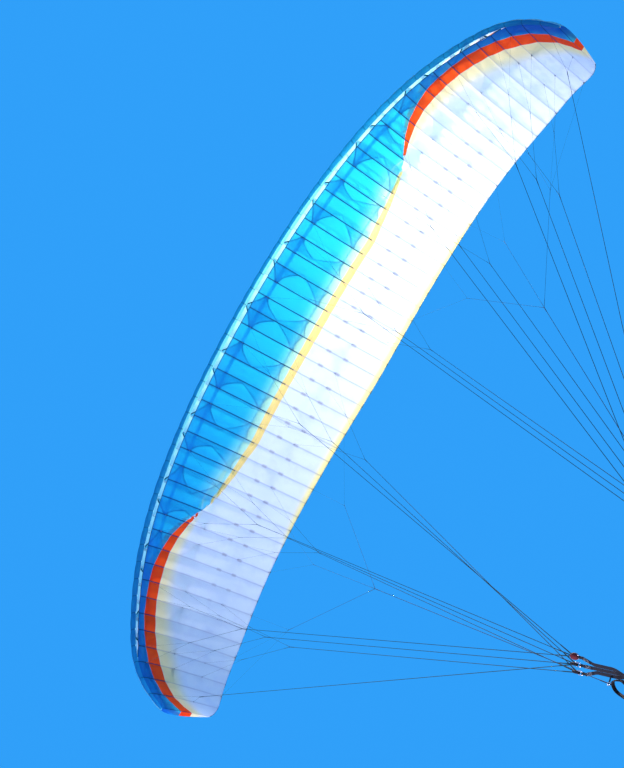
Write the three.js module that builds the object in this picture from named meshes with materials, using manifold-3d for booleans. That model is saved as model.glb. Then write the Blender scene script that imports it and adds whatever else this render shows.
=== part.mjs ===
// A paraglider in flight: an arched ram-air canopy, its lines, two risers and two brakes.
// Millimetres. +X is the flight direction, +Y the rider's left, +Z up.
// The origin is midway between the two hang loops, where the rider's weight is taken.

import * as THREE from 'three';
import Module from 'manifold-3d';

const wasm = await Module();
wasm.setup();

// Driving dimensions.

const CELLS = 50;                 // cells across the whole span
const HALF_CELLS = CELLS / 2;
const HALF_SPAN = 5710;           // reach of the curves below, measured along the sail
const TIP_CUT = 0.989;            // the tip rib stands at this share of that reach
const CELL_CROWDING = 0.033;      // how much wider the middle cells are than the tip cells
const TIP_ANGLE = 95.9;           // degrees the sail has turned down at the end
const TIP_CURL = 0.327;           // share of that turn that comes late, near the end
const ARCH_HEIGHT = 8260;         // chord line of the middle cell above the hang loops

const ROOT_CHORD = 2337;
const TIP_CHORD_SHARE = 0.234;
const PLANFORM_A = 1.617;
const PLANFORM_B = 0.570;
const NOSE_FORWARD = 612;         // nose of the middle cell ahead of the hang loops
const TIP_SWEEP = 662;
const SWEEP_POWER = 4.14;
const SHOULDER = 70;              // the nose line runs fuller just before the tip
const SHOULDER_AT = 0.897;
const SHOULDER_WIDTH = 0.105;
const CHORD_TILT = 2.0;           // degrees, nose down
const TIP_TOE = 12.4;             // degrees the outer chords point outward at the front
const LAST_TOE = 11.7;            // degrees more in the last cells
const LAST_TOE_POWER = 24;

const PROFILE_THICKNESS = 0.15;
const PROFILE_CAMBER = 0.025;
const CAMBER_AT = 0.25;
const TIP_THINNING = 0.55;        // share of the thickness lost towards the end
const THINNING_POWER = 10;

const CLOTH = 2.5;                // modelled cloth thickness
const TRAILING_HEIGHT = 12;       // open height closed by the trailing web
const GAP = 0.3;                  // between pieces that are sewn or tied together
const UPPER_BILLOW = 24;          // how far a middle cell swells between its ribs
const LOWER_BILLOW = 15;
const BILLOW_NOSE = 0.18;         // the swelling begins this far ahead of the nose, chord share
const BILLOW_SKEW = 0.62;         // below 1 the fullest part lies ahead of the middle
const BILLOW_LEAST = 0.15;        // share of the swelling left at the trailing edge
const BILLOW_TIP = 0.35;          // share of the swelling left as the chord shrinks to nothing

const INTAKE_TOP = 0.024;         // intake slot on the underside of the nose, chord shares
const INTAKE_BOTTOM = 0.046;
const OPEN_CELLS = 21;            // cells with an open intake each side of the middle

const SECTION_RIBS = [0, 7, 16, 25, 34, 43, 50];
const SECTION_NAMES = [
  'right_tip', 'right_middle', 'right_inner', 'left_inner', 'left_middle', 'left_tip',
];

// Colours of the materials.

const COLOURS = {
  turquoise: { color: 0x1fa9dc, roughness: 0.55, metalness: 0.0 },
  white: { color: 0xeef1fb, roughness: 0.6, metalness: 0.0 },
  rib: { color: 0xdfe6f2, roughness: 0.7, metalness: 0.0 },
  line: { color: 0x2f8f86, roughness: 0.6, metalness: 0.0 },
  brakeLine: { color: 0x27303a, roughness: 0.6, metalness: 0.0 },
  webbing: { color: 0x16181c, roughness: 0.85, metalness: 0.0 },
  steel: { color: 0xaab0b6, roughness: 0.3, metalness: 1.0 },
};

const group = new THREE.Group();
group.name = 'paraglider';

function addMesh(name, geometry, look) {
  const mesh = new THREE.Mesh(geometry, new THREE.MeshStandardMaterial(COLOURS[look]));
  mesh.name = name;
  group.add(mesh);
}

function geometryFrom(points, triangles) {
  const geometry = new THREE.BufferGeometry();
  const flat = points.flatMap((p) => [p.x, p.y, p.z]);
  geometry.setAttribute('position', new THREE.Float32BufferAttribute(flat, 3));
  geometry.setIndex(triangles.flat());
  geometry.computeVertexNormals();
  return geometry;
}

function solidFrom(points, triangles) {
  const mesh = new wasm.Mesh({
    numProp: 3,
    vertProperties: new Float32Array(points.flatMap((p) => [p.x, p.y, p.z])),
    triVerts: new Uint32Array(triangles.flat()),
  });
  return new wasm.Manifold(mesh);
}

function geometryFromSolid(solid) {
  const mesh = solid.getMesh();
  const geometry = new THREE.BufferGeometry();
  const step = mesh.numProp;
  const count = mesh.vertProperties.length / step;
  const flat = [];
  for (let i = 0; i < count; i += 1) {
    flat.push(...mesh.vertProperties.slice(i * step, i * step + 3));
  }
  geometry.setAttribute('position', new THREE.Float32BufferAttribute(flat, 3));
  geometry.setIndex(Array.from(mesh.triVerts));
  geometry.computeVertexNormals();
  return geometry;
}

function joined(solids) {
  return solids.reduce((sum, solid) => sum.add(solid));
}

// Shape of the canopy.

const radians = (degrees) => (degrees * Math.PI) / 180;
const mix = (a, b, t) => a + (b - a) * t;
const mixPoints = (a, b, t) => a.clone().lerp(b, t);

// Share of the half span at a rib, counted in cells from the middle.
function spanShare(cellsOut) {
  const s = Math.abs(cellsOut) / HALF_CELLS;
  return TIP_CUT * s * (1 + CELL_CROWDING * (1 - s * s));
}

function turnAt(u) {
  return radians(TIP_ANGLE) * ((1 - TIP_CURL) * u + TIP_CURL * u ** 4);
}

const ARCH_STEPS = 400;
const ARCH = (() => {
  const table = [{ y: 0, z: 0 }];
  for (let i = 0; i < ARCH_STEPS; i += 1) {
    const turn = turnAt((i + 0.5) / ARCH_STEPS);
    const last = table[i];
    table.push({
      y: last.y + (Math.cos(turn) * HALF_SPAN) / ARCH_STEPS,
      z: last.z - (Math.sin(turn) * HALF_SPAN) / ARCH_STEPS,
    });
  }
  return table;
})();

function archAt(u) {
  const place = Math.min(Math.max(u, 0), 1) * ARCH_STEPS;
  const i = Math.min(Math.floor(place), ARCH_STEPS - 1);
  const t = place - i;
  return { y: mix(ARCH[i].y, ARCH[i + 1].y, t), z: mix(ARCH[i].z, ARCH[i + 1].z, t) };
}

function profileAt(x, u) {
  const thickness = PROFILE_THICKNESS * (1 - TIP_THINNING * u ** THINNING_POWER);
  const half = 5 * thickness * (0.2969 * Math.sqrt(x) - 0.126 * x
    - 0.3516 * x ** 2 + 0.2843 * x ** 3 - 0.1015 * x ** 4);
  const front = (PROFILE_CAMBER / CAMBER_AT ** 2) * (2 * CAMBER_AT * x - x * x);
  const back = (PROFILE_CAMBER / (1 - CAMBER_AT) ** 2)
    * (1 - 2 * CAMBER_AT + 2 * CAMBER_AT * x - x * x);
  const middle = x < CAMBER_AT ? front : back;
  return { upper: middle + half, lower: middle - half };
}

function chordAt(u) {
  const body = Math.max(1 - u ** PLANFORM_A, 0) ** PLANFORM_B;
  return ROOT_CHORD * (TIP_CHORD_SHARE + (1 - TIP_CHORD_SHARE) * body);
}

function noseAt(u) {
  const shoulder = SHOULDER * Math.exp(-(((u - SHOULDER_AT) / SHOULDER_WIDTH) ** 2));
  return NOSE_FORWARD - TIP_SWEEP * u ** SWEEP_POWER + shoulder;
}

// A point of the sail. cellsOut: cells left (+) or right (-) of the middle.
// x: share of the chord behind the nose. side: 1 upper, -1 lower. out: mm off the cloth.
function sailPoint(cellsOut, x, side, out = 0) {
  const u = spanShare(cellsOut);
  const sign = Math.sign(cellsOut);
  const turn = turnAt(u) * sign;
  const arch = archAt(u);
  const chord = chordAt(u);
  const tilt = radians(CHORD_TILT);
  const toe = radians(TIP_TOE * u ** 2 + LAST_TOE * u ** LAST_TOE_POWER) * sign;
  const profile = profileAt(x, u);
  const trail = (TRAILING_HEIGHT / 2) * x;
  const height = side > 0
    ? chord * profile.upper + trail + out
    : chord * profile.lower - trail - out;
  const along = chord * x;
  const lift = height * Math.cos(tilt) + along * Math.sin(tilt);
  return new THREE.Vector3(
    noseAt(u) - along * Math.cos(tilt) * Math.cos(toe) + height * Math.sin(tilt),
    arch.y * sign + lift * Math.sin(turn) - along * Math.sin(toe) * Math.cos(turn),
    ARCH_HEIGHT + arch.z + lift * Math.cos(turn) + along * Math.sin(toe) * Math.sin(turn),
  );
}

// Swelling of the cloth between two ribs: none at the ribs, least at the trailing edge.
function billowAt(cellsOut, x, amount) {
  const chordShare = chordAt(spanShare(cellsOut)) / ROOT_CHORD;
  const between = 1 - Math.abs(2 * (Math.abs(cellsOut) % 1) - 1);
  const wave = Math.sin(Math.PI * Math.min(x + BILLOW_NOSE, 1) ** BILLOW_SKEW);
  const along = mix(BILLOW_LEAST, 1, wave);
  return amount * mix(BILLOW_TIP, 1, chordShare) * between * along;
}

function billowed(cellsOut, x, side) {
  const amount = side > 0 ? UPPER_BILLOW : LOWER_BILLOW;
  return sailPoint(cellsOut, x, side, billowAt(cellsOut, x, amount));
}

// Sails: thin shells of cloth.

// Turns a grid of points (rows across the span, columns along the chord) into a thin
// closed body. The points are the outside; the inside lies one cloth thickness in.
// The cut edges of the first and last row stay in the planes of the ribs there.
function clothShell(grid, thickness, endNormals) {
  const rows = grid.length;
  const columns = grid[0].length;
  const at = (i, j) => i * columns + j;
  const normals = grid.flat().map(() => new THREE.Vector3());
  for (let i = 0; i + 1 < rows; i += 1) {
    for (let j = 0; j + 1 < columns; j += 1) {
      const across = grid[i + 1][j + 1].clone().sub(grid[i][j]);
      const back = grid[i + 1][j].clone().sub(grid[i][j + 1]);
      const normal = across.cross(back).normalize();
      [at(i, j), at(i + 1, j), at(i, j + 1), at(i + 1, j + 1)]
        .forEach((corner) => normals[corner].add(normal));
    }
  }
  endNormals.forEach((endNormal, end) => {
    for (let j = 0; j < columns; j += 1) {
      const normal = normals[at(end * (rows - 1), j)];
      normal.addScaledVector(endNormal, -normal.dot(endNormal));
    }
  });
  const outside = grid.flat();
  const inside = outside.map((point, k) => point.clone()
    .addScaledVector(normals[k].normalize(), -thickness));
  const count = outside.length;
  const triangles = [];
  const quad = (a, b, c, d) => triangles.push([a, b, c], [a, c, d]);
  const mirrored = grid[0][0].y < -1;
  for (let i = 0; i + 1 < rows; i += 1) {
    for (let j = 0; j + 1 < columns; j += 1) {
      const round = [at(i, j), at(i + 1, j), at(i + 1, j + 1), at(i, j + 1)];
      const corners = mirrored ? [...round.slice(1), round[0]] : round;
      quad(corners[0], corners[3], corners[2], corners[1]);
      quad(...corners.map((k) => k + count));
    }
  }
  for (let i = 0; i + 1 < rows; i += 1) {
    const last = columns - 1;
    quad(at(i, 0), at(i + 1, 0), at(i + 1, 0) + count, at(i, 0) + count);
    quad(at(i + 1, last), at(i, last), at(i, last) + count, at(i + 1, last) + count);
  }
  for (let j = 0; j + 1 < columns; j += 1) {
    const last = rows - 1;
    quad(at(0, j + 1), at(0, j), at(0, j) + count, at(0, j + 1) + count);
    quad(at(last, j), at(last, j + 1), at(last, j + 1) + count, at(last, j) + count);
  }
  return { points: [...outside, ...inside], triangles };
}

const UPPER_STATIONS = [1, 0.8, 0.6, 0.42, 0.28, 0.18, 0.1, 0.045, 0.014];
const NOSE_STATIONS = [0.007, INTAKE_TOP];  // under the nose, on the upper sail
const LOWER_STATIONS = [0.105, 0.23, 0.39, 0.55, 0.71, 0.86, 1];
const NOSE_SEAM = 1.8;            // chordwise step between the sails where a cell is closed
const RIB_INSET = 1.6;            // half the rib's thickness and the gap beside it, mm
const RIB_CREST = 0.34;           // highest place of a rib, chord share
const PROBE = 0.01;               // small step across the span, cells

// Square to the plane of a rib, pointing left.
function ribNormal(cellsOut) {
  const nose = sailPoint(cellsOut, 0, 1);
  const tail = sailPoint(cellsOut, 1, -1).sub(nose);
  const top = sailPoint(cellsOut, RIB_CREST, 1).sub(nose);
  return tail.cross(top).normalize();
}

// One row of a section: a rib or the middle of a cell. The rows at the two ends are
// drawn in, so that they stand RIB_INSET off the plane of the rib there.
function rowPlace(cellsOut, inward) {
  if (inward === 0) {
    return () => cellsOut;
  }
  const normal = ribNormal(cellsOut);
  const step = PROBE * inward;
  return (x, side) => {
    const moved = sailPoint(cellsOut + step, x, side).sub(sailPoint(cellsOut, x, side));
    return cellsOut + (step * RIB_INSET) / Math.abs(moved.dot(normal));
  };
}

function sectionRows(first, last) {
  const rows = [];
  for (let k = first; k <= last; k += 0.5) {
    const inward = Number(k === first) - Number(k === last);
    rows.push(rowPlace(k - HALF_CELLS, inward));
  }
  return rows;
}

function intakeBottom(cellsOut) {
  const closed = Math.min(Math.max(Math.abs(cellsOut) - OPEN_CELLS, 0), 1);
  const seam = NOSE_SEAM / chordAt(spanShare(cellsOut));
  return mix(INTAKE_BOTTOM, INTAKE_TOP + seam, closed);
}

function upperRow(place) {
  const row = UPPER_STATIONS.map((x) => billowed(place(x, 1), x, 1));
  row.push(sailPoint(place(0, 1), 0, 1));
  NOSE_STATIONS.forEach((x) => row.push(sailPoint(place(x, -1), x, -1)));
  return row;
}

function lowerRow(place) {
  const start = intakeBottom(place(INTAKE_BOTTOM, -1));
  const row = [start, ...LOWER_STATIONS].map((x) => billowed(place(x, -1), x, -1));
  row.push(sailPoint(place(1, 1), 1, 1, -CLOTH - GAP));
  return row;
}

const SHEET_PIECES = [
  { prefix: 'upper_sail', row: upperRow, look: 'turquoise' },
  { prefix: 'lower_sail', row: lowerRow, look: 'white' },
];

SECTION_NAMES.forEach((name, n) => {
  const ends = SECTION_RIBS.slice(n, n + 2);
  const rows = sectionRows(...ends);
  const endNormals = ends.map((k) => ribNormal(k - HALF_CELLS));
  SHEET_PIECES.forEach((piece) => {
    const shell = clothShell(rows.map(piece.row), CLOTH, endNormals);
    addMesh(`${piece.prefix}_${name}`, geometryFrom(shell.points, shell.triangles), piece.look);
  });
});

// Ribs at the ends of the sections.

const RIB_THICKNESS = 2.4;
const RIB_NAMES = [
  'rib_right_tip', 'rib_right_outer', 'rib_right_inner', 'rib_middle',
  'rib_left_inner', 'rib_left_outer', 'rib_left_tip',
];

// The outline of the sail at a rib, as one closed loop of points.
function ribLoop(cellsOut) {
  const loop = [...UPPER_STATIONS, 0].map((x) => sailPoint(cellsOut, x, 1));
  const under = [...NOSE_STATIONS, intakeBottom(cellsOut), ...LOWER_STATIONS];
  under.forEach((x) => loop.push(sailPoint(cellsOut, x, -1)));
  return loop;
}

// A flat plate from a loop: the loop is shifted half a thickness to each side.
function plateFromLoop(loop, sideways, thickness, capTriangles) {
  const count = loop.length;
  const points = [1, -1].flatMap((sign) => loop.map((p) => p.clone()
    .addScaledVector(sideways, (sign * thickness) / 2)));
  const triangles = capTriangles.flatMap(([a, b, c]) => [
    [a, b, c], [a + count, c + count, b + count],
  ]);
  for (let k = 0; k < count; k += 1) {
    const next = (k + 1) % count;
    triangles.push([k, k + count, next + count], [k, next + count, next]);
  }
  return { points, triangles };
}

SECTION_RIBS.forEach((k, n) => {
  const cellsOut = k - HALF_CELLS;
  const loop = ribLoop(cellsOut);
  const nose = loop[UPPER_STATIONS.length];
  const chordLine = loop[0].clone().sub(nose).normalize();
  const sideways = ribNormal(cellsOut);
  const up = sideways.clone().cross(chordLine).normalize();
  const outline = loop.map((p) => new THREE.Vector2(
    p.clone().sub(nose).dot(chordLine), p.clone().sub(nose).dot(up),
  ));
  const caps = THREE.ShapeUtils.triangulateShape(outline, []);
  const plate = plateFromLoop(loop, sideways, RIB_THICKNESS, caps);
  addMesh(RIB_NAMES[n], geometryFrom(plate.points, plate.triangles), 'rib');
});

// Lines.

const MAIN_WIDTH = 3;             // lines are square in section
const TOP_WIDTH = 2.4;
const TIE_TAPER = 8;              // a tied end runs to a point over this length
const TIE_GAP = 0.35;             // from a tied end to the cloth or link
const BLOCK_PITCH = 3.6;          // between neighbouring lines at a fork
const FOOT_PITCH = 4.4;           // between neighbouring lines at their link
const BLOCK_HEIGHT = 7;
const BLOCK_THICK = 5;
const LEAD = 10;                  // a line narrows to its own width this far from a block

// The tied end under the sail at a rib.
function sailTie(cellsOut, x) {
  return sailPoint(cellsOut, x, -1, TIE_GAP);
}

function meanPoint(points) {
  return points.reduce((sum, p) => sum.add(p), new THREE.Vector3()).divideScalar(points.length);
}

function squareTo(direction, axis) {
  return direction.clone().addScaledVector(axis, -direction.dot(axis)).normalize();
}

// One tree of lines as a single closed surface: blocks, and square lines between them.
class LineTree {
  constructor() {
    this.points = [];
    this.triangles = [];
  }

  point(place) {
    this.points.push(place);
    return this.points.length - 1;
  }

  // Four corners round a centre, counterclockwise as seen from ahead of the axis.
  ring(centre, axis, spread, long, thick) {
    const third = axis.clone().cross(spread);
    return [[1, 1], [-1, 1], [-1, -1], [1, -1]].map(([s, d]) => this.point(centre.clone()
      .addScaledVector(spread, (s * long) / 2)
      .addScaledVector(third, (d * thick) / 2)));
  }

  // Side faces between two rings, the upper one turned to the nearest match.
  bridge(low, high) {
    const twist = (shift) => low.reduce((sum, corner, i) => sum
      + this.points[corner].distanceToSquared(this.points[high[(i + shift) % 4]]), 0);
    const shift = [0, 1, 2, 3].reduce((best, next) => (twist(next) < twist(best) ? next : best));
    for (let i = 0; i < 4; i += 1) {
      const here = high[(i + shift) % 4];
      const next = high[(i + shift + 1) % 4];
      this.triangles.push([low[i], low[(i + 1) % 4], next], [low[i], next, here]);
    }
  }

  floor(ring) {
    this.triangles.push([ring[0], ring[2], ring[1]], [ring[0], ring[3], ring[2]]);
  }

  // A block above its bottom ring; returns the ring that each line above starts from.
  block(bottom, centre, axis, spread, count, pitch) {
    const third = axis.clone().cross(spread);
    const top = centre.clone().addScaledVector(axis, BLOCK_HEIGHT / 2);
    const edge = [1, -1].map((d) => Array.from({ length: count + 1 }, (_, i) => this.point(
      top.clone()
        .addScaledVector(spread, (i - count / 2) * pitch)
        .addScaledVector(third, (d * BLOCK_THICK) / 2),
    )));
    const [near, far] = edge;
    const [b0, b1, b2, b3] = bottom;
    this.triangles.push([b0, b1, near[0]], [b1, b2, far[0]], [b1, far[0], near[0]]);
    this.triangles.push([b2, b3, far[count]], [b3, b0, near[count]]);
    this.triangles.push([b3, near[count], far[count]]);
    const starts = [];
    for (let i = 0; i < count; i += 1) {
      this.triangles.push([b0, near[i], near[i + 1]], [b2, far[i + 1], far[i]]);
      starts.push([near[i + 1], near[i], far[i], far[i + 1]]);
    }
    return starts;
  }

  ringCentre(ring) {
    return meanPoint(ring.map((corner) => this.points[corner]));
  }

  // The lines above a block: each runs to a tie, or to a fork with lines of its own.
  lines(starts, ends, spread, width) {
    starts.forEach((start, i) => {
      const end = ends[i];
      if (end.ties) {
        this.fork(start, end, width);
        return;
      }
      const from = this.ringCentre(start);
      const axis = end.clone().sub(from).normalize();
      const side = squareTo(spread, axis);
      const lower = this.ring(from.clone().addScaledVector(axis, LEAD), axis, side, width, width);
      const upper = this.ring(end.clone().addScaledVector(axis, -TIE_TAPER), axis, side,
        width, width);
      const apex = this.point(end.clone());
      this.bridge(start, lower);
      this.bridge(lower, upper);
      upper.forEach((corner, k) => this.triangles.push([corner, upper[(k + 1) % 4], apex]));
    });
  }

  // A line from its start ring to a block, and the lines above that.
  fork(start, { ties, forkAt }, width) {
    const goals = ties.map((tie) => (tie.ties ? meanPoint(tie.ties) : tie));
    const from = this.ringCentre(start);
    const centre = mixPoints(from, meanPoint(goals), forkAt);
    const axis = centre.clone().sub(from).normalize();
    const spread = squareTo(goals[goals.length - 1].clone().sub(goals[0]), axis);
    const bottomAt = centre.clone().addScaledVector(axis, -BLOCK_HEIGHT / 2);
    const lower = this.ring(from.clone().addScaledVector(axis, LEAD), axis, spread, width, width);
    const upper = this.ring(bottomAt.clone().addScaledVector(axis, -LEAD), axis, spread,
      width, width);
    const bottom = this.ring(bottomAt, axis, spread, goals.length * BLOCK_PITCH, BLOCK_THICK);
    this.bridge(start, lower);
    this.bridge(lower, upper);
    this.bridge(upper, bottom);
    const starts = this.block(bottom, centre, axis, spread, goals.length, BLOCK_PITCH);
    this.lines(starts, ties, spread, TOP_WIDTH);
  }

  geometry() {
    return geometryFrom(this.points, this.triangles);
  }
}

// Risers.

const HANG_HALF = 220;            // hang loops either side of the middle
const RISER_TOP = { x: 52, y: 446, z: 496 };
const MAILLON_SPREAD = 46;        // between neighbouring links
const RISER_TWIST = 50;           // degrees the links' row is turned, its front end inward
const TWIST_LOW = 190;            // the risers turn between these heights above the foot
const TWIST_HIGH = 320;
const PARTING = 430;              // and their straps part from each other above this

const LINK_HEIGHT = 34;
const LINK_WIDTH = 24;
const LINK_CORNER = 6;
const LINK_WIRE = 4;
const WEB_WIDTH = 20;
const WEB_THICKNESS = 3;

const LINE_ROWS = [
  { name: 'a', chord: 0.105, place: 1 },
  { name: 'b', chord: 0.39, place: 0 },
  { name: 'c', chord: 0.71, place: -1 },
];
// Ribs that carry lines come in pairs, and each main line ends at two pairs.
const MAIN_TIES = [[[1, 2], [5, 6]], [[9, 10], [13, 14]], [[17, 18], [21, 22]]];
const MAIN_FORK = 0.62;           // share of the way from the link to the ties
const UPPER_FORK = 0.5;           // share of the rest
const TIP_TIES = [{ rib: 24, chord: 0.2 }, { rib: 24, chord: 0.62 }];
const TIP_FORK = 0.9;

const BRAKE_TIES = [[4, 8], [11, 14], [17, 20, 23]];
const BRAKE_TIE_CHORD = 0.985;
const BRAKE_MAIN_FORK = 0.5;
const BRAKE_UPPER_FORK = 0.55;
const BRAKE_RING_DOWN = 215;      // ring below the links, along the riser
const BRAKE_RING_OUT = 34;        // ring outside the rear riser
const BRAKE_RING_BACK = 26;       // and behind its middle
const BRAKE_RING_HOLE = 6;
const BRAKE_RING_WIRE = 2.2;
const RING_POINTS = 10;
const TAB_BEND = 9;               // the ring's tab stands out this far before it turns
const TAB_WEB = 9;
const TAB_THICKNESS = 2;
const HANDLE_BELOW_RING = 34;
const HANDLE_LENGTH = 135;
const HANDLE_WIDTH = 92;
const HANDLE_WEB = 22;
const HANDLE_THICKNESS = 5;

// Local directions of one riser: along it, outward across it, and forward. Above its hang
// loop the last two turn about the riser.
function riserFrame(sign) {
  const foot = new THREE.Vector3(0, HANG_HALF * sign, 0);
  const top = new THREE.Vector3(RISER_TOP.x, RISER_TOP.y * sign, RISER_TOP.z);
  const along = top.clone().sub(foot).normalize();
  const forward = new THREE.Vector3(1, 0, 0);
  forward.addScaledVector(along, -forward.dot(along)).normalize();
  const outward = along.clone().cross(forward).multiplyScalar(sign).normalize();
  const length = top.distanceTo(foot);
  const twistAt = (up) => radians(RISER_TWIST)
    * THREE.MathUtils.smoothstep(up, TWIST_LOW, TWIST_HIGH);
  const forwardAt = (up) => forward.clone().multiplyScalar(Math.cos(twistAt(up)))
    .addScaledVector(outward, -Math.sin(twistAt(up)));
  const outwardAt = (up) => outward.clone().multiplyScalar(Math.cos(twistAt(up)))
    .addScaledVector(forward, Math.sin(twistAt(up)));
  const place = (x, out, up) => foot.clone()
    .addScaledVector(forwardAt(up), x)
    .addScaledVector(outwardAt(up), out)
    .addScaledVector(along, up);
  return { along, length, place, forwardAt, outwardAt, lowForward: forward, lowOutward: outward,
    linkForward: forwardAt(length), linkOutward: outwardAt(length) };
}

// A band with a rectangular section: its centre points in order, the direction of its
// width, one for all or one for each point, and its width and thickness.
function bandSolid(centres, widthDirections, width, thickness, closed) {
  const count = centres.length;
  const points = [];
  centres.forEach((p, i) => {
    const widthDirection = Array.isArray(widthDirections) ? widthDirections[i] : widthDirections;
    const before = closed ? centres[(i + count - 1) % count] : centres[Math.max(i - 1, 0)];
    const after = closed ? centres[(i + 1) % count] : centres[Math.min(i + 1, count - 1)];
    const a = p.clone().sub(before).normalize();
    const b = after.clone().sub(p).normalize();
    const run = a.clone().add(b).normalize();
    const depth = run.clone().cross(widthDirection).normalize();
    const half = a.lengthSq() > 0.5 && b.lengthSq() > 0.5 ? Math.max(run.dot(b), 0.5) : 1;
    const reach = thickness / 2 / half;
    [[1, 1], [1, -1], [-1, -1], [-1, 1]].forEach(([w, d]) => {
      points.push(p.clone()
        .addScaledVector(widthDirection, (w * width) / 2)
        .addScaledVector(depth, d * reach));
    });
  });
  const triangles = [];
  const spans = closed ? count : count - 1;
  for (let i = 0; i < spans; i += 1) {
    const here = i * 4;
    const next = ((i + 1) % count) * 4;
    for (let c = 0; c < 4; c += 1) {
      const d = (c + 1) % 4;
      triangles.push([here + c, here + d, next + d], [here + c, next + d, next + c]);
    }
  }
  if (!closed) {
    const end = (count - 1) * 4;
    triangles.push([0, 2, 1], [0, 3, 2]);
    triangles.push([end, end + 1, end + 2], [end, end + 2, end + 3]);
  }
  return orientedSolid(points, triangles);
}

// Makes a solid whichever way round its faces were listed.
function orientedSolid(points, triangles) {
  let volume = 0;
  triangles.forEach(([a, b, c]) => {
    volume += points[a].dot(points[b].clone().cross(points[c]));
  });
  const faces = volume > 0 ? triangles : triangles.map(([a, b, c]) => [a, c, b]);
  return solidFrom(points, faces);
}

// Centre points of an upright loop with rounded corners, in the plane of two directions.
function loopPoints(centre, wide, high, width, height, corner, steps) {
  const points = [];
  const quarters = [[1, 1, 0], [-1, 1, 1], [-1, -1, 2], [1, -1, 3]];
  quarters.forEach(([w, h, quarter]) => {
    const middle = centre.clone()
      .addScaledVector(wide, w * (width / 2 - corner))
      .addScaledVector(high, h * (height / 2 - corner));
    for (let i = 0; i <= steps; i += 1) {
      const angle = (Math.PI / 2) * (quarter + i / steps);
      points.push(middle.clone()
        .addScaledVector(wide, corner * Math.cos(angle))
        .addScaledVector(high, corner * Math.sin(angle)));
    }
  });
  return points;
}

// A ring of round wire along a closed loop of points.
function wireRing(points, planeNormal, radius, sides) {
  const count = points.length;
  const vertices = [];
  points.forEach((p, i) => {
    const run = points[(i + 1) % count].clone().sub(points[(i + count - 1) % count]).normalize();
    const inPlane = run.clone().cross(planeNormal).normalize();
    for (let s = 0; s < sides; s += 1) {
      const angle = (s * 2 * Math.PI) / sides;
      vertices.push(p.clone()
        .addScaledVector(inPlane, radius * Math.cos(angle))
        .addScaledVector(planeNormal, radius * Math.sin(angle)));
    }
  });
  const triangles = [];
  for (let i = 0; i < count; i += 1) {
    const here = i * sides;
    const next = ((i + 1) % count) * sides;
    for (let s = 0; s < sides; s += 1) {
      const t = (s + 1) % sides;
      triangles.push([here + s, here + t, next + t], [here + s, next + t, next + s]);
    }
  }
  return orientedSolid(vertices, triangles);
}

const WEB_FAN = 0.5;              // while they turn they lie at this share of their full spread
const EYE_LEAD = 12;              // straight part of a strap below its eye
const LINK_SIDES = 6;             // faces round the wire of a link
const RING_SIDES = 5;
const HANDLE_APEX = 0.6;          // middle of the handle's band below the line, in thicknesses
const HANDLE_SHAPE = [            // middle of the band: across in widths, along in lengths
  [0, 0], [0.3, -0.12], [0.46, -0.5], [0.5, -0.78], [0.36, -0.95], [0.14, -1],
  [-0.14, -1], [-0.36, -0.95], [-0.5, -0.78], [-0.46, -0.5], [-0.3, -0.12],
];
const EYE_HEIGHT = 20;            // sewn eye at the top of each riser, around its link
const EYE_WIDTH = 13;
const EYE_WEB = 10;
const EYE_CORNER = 4;
const STACK_STEP = WEB_THICKNESS + GAP;
const STACK_TOP = 95;             // the three risers lie on each other up to here
const HANG_LOOP_HEIGHT = 62;
const HANG_LOOP_WIDTH = 36;
const HANG_LOOP_CORNER = 14;
const HANG_LOOP_WEB = 24;
const HANG_LOOP_THICKNESS = 5;
const STRAP_FOOT = 40;            // lower end of the risers above the hang point
const TWIST_STEPS = 7;            // sections of a strap while it turns

// Heights of the points along one strap.
function strapHeights(eyeFoot) {
  const turning = Array.from({ length: TWIST_STEPS + 1 }, (_, i) => (
    mix(TWIST_LOW, TWIST_HIGH, i / TWIST_STEPS)));
  return [STRAP_FOOT, STACK_TOP, ...turning, PARTING, eyeFoot - EYE_LEAD, eyeFoot];
}

// Middle of a strap at a height: it leaves the stack, fans out and ends under its link.
function strapPlace(frame, row, up, eyeFoot) {
  const fanned = THREE.MathUtils.clamp((up - STACK_TOP) / (TWIST_LOW - STACK_TOP), 0, 1);
  const rest = THREE.MathUtils.clamp((up - PARTING) / (eyeFoot - EYE_LEAD - PARTING), 0, 1);
  const x = row.place * MAILLON_SPREAD * (WEB_FAN * fanned + (1 - WEB_FAN) * rest);
  return frame.place(x, row.place * STACK_STEP * (1 - rest), up);
}

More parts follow.
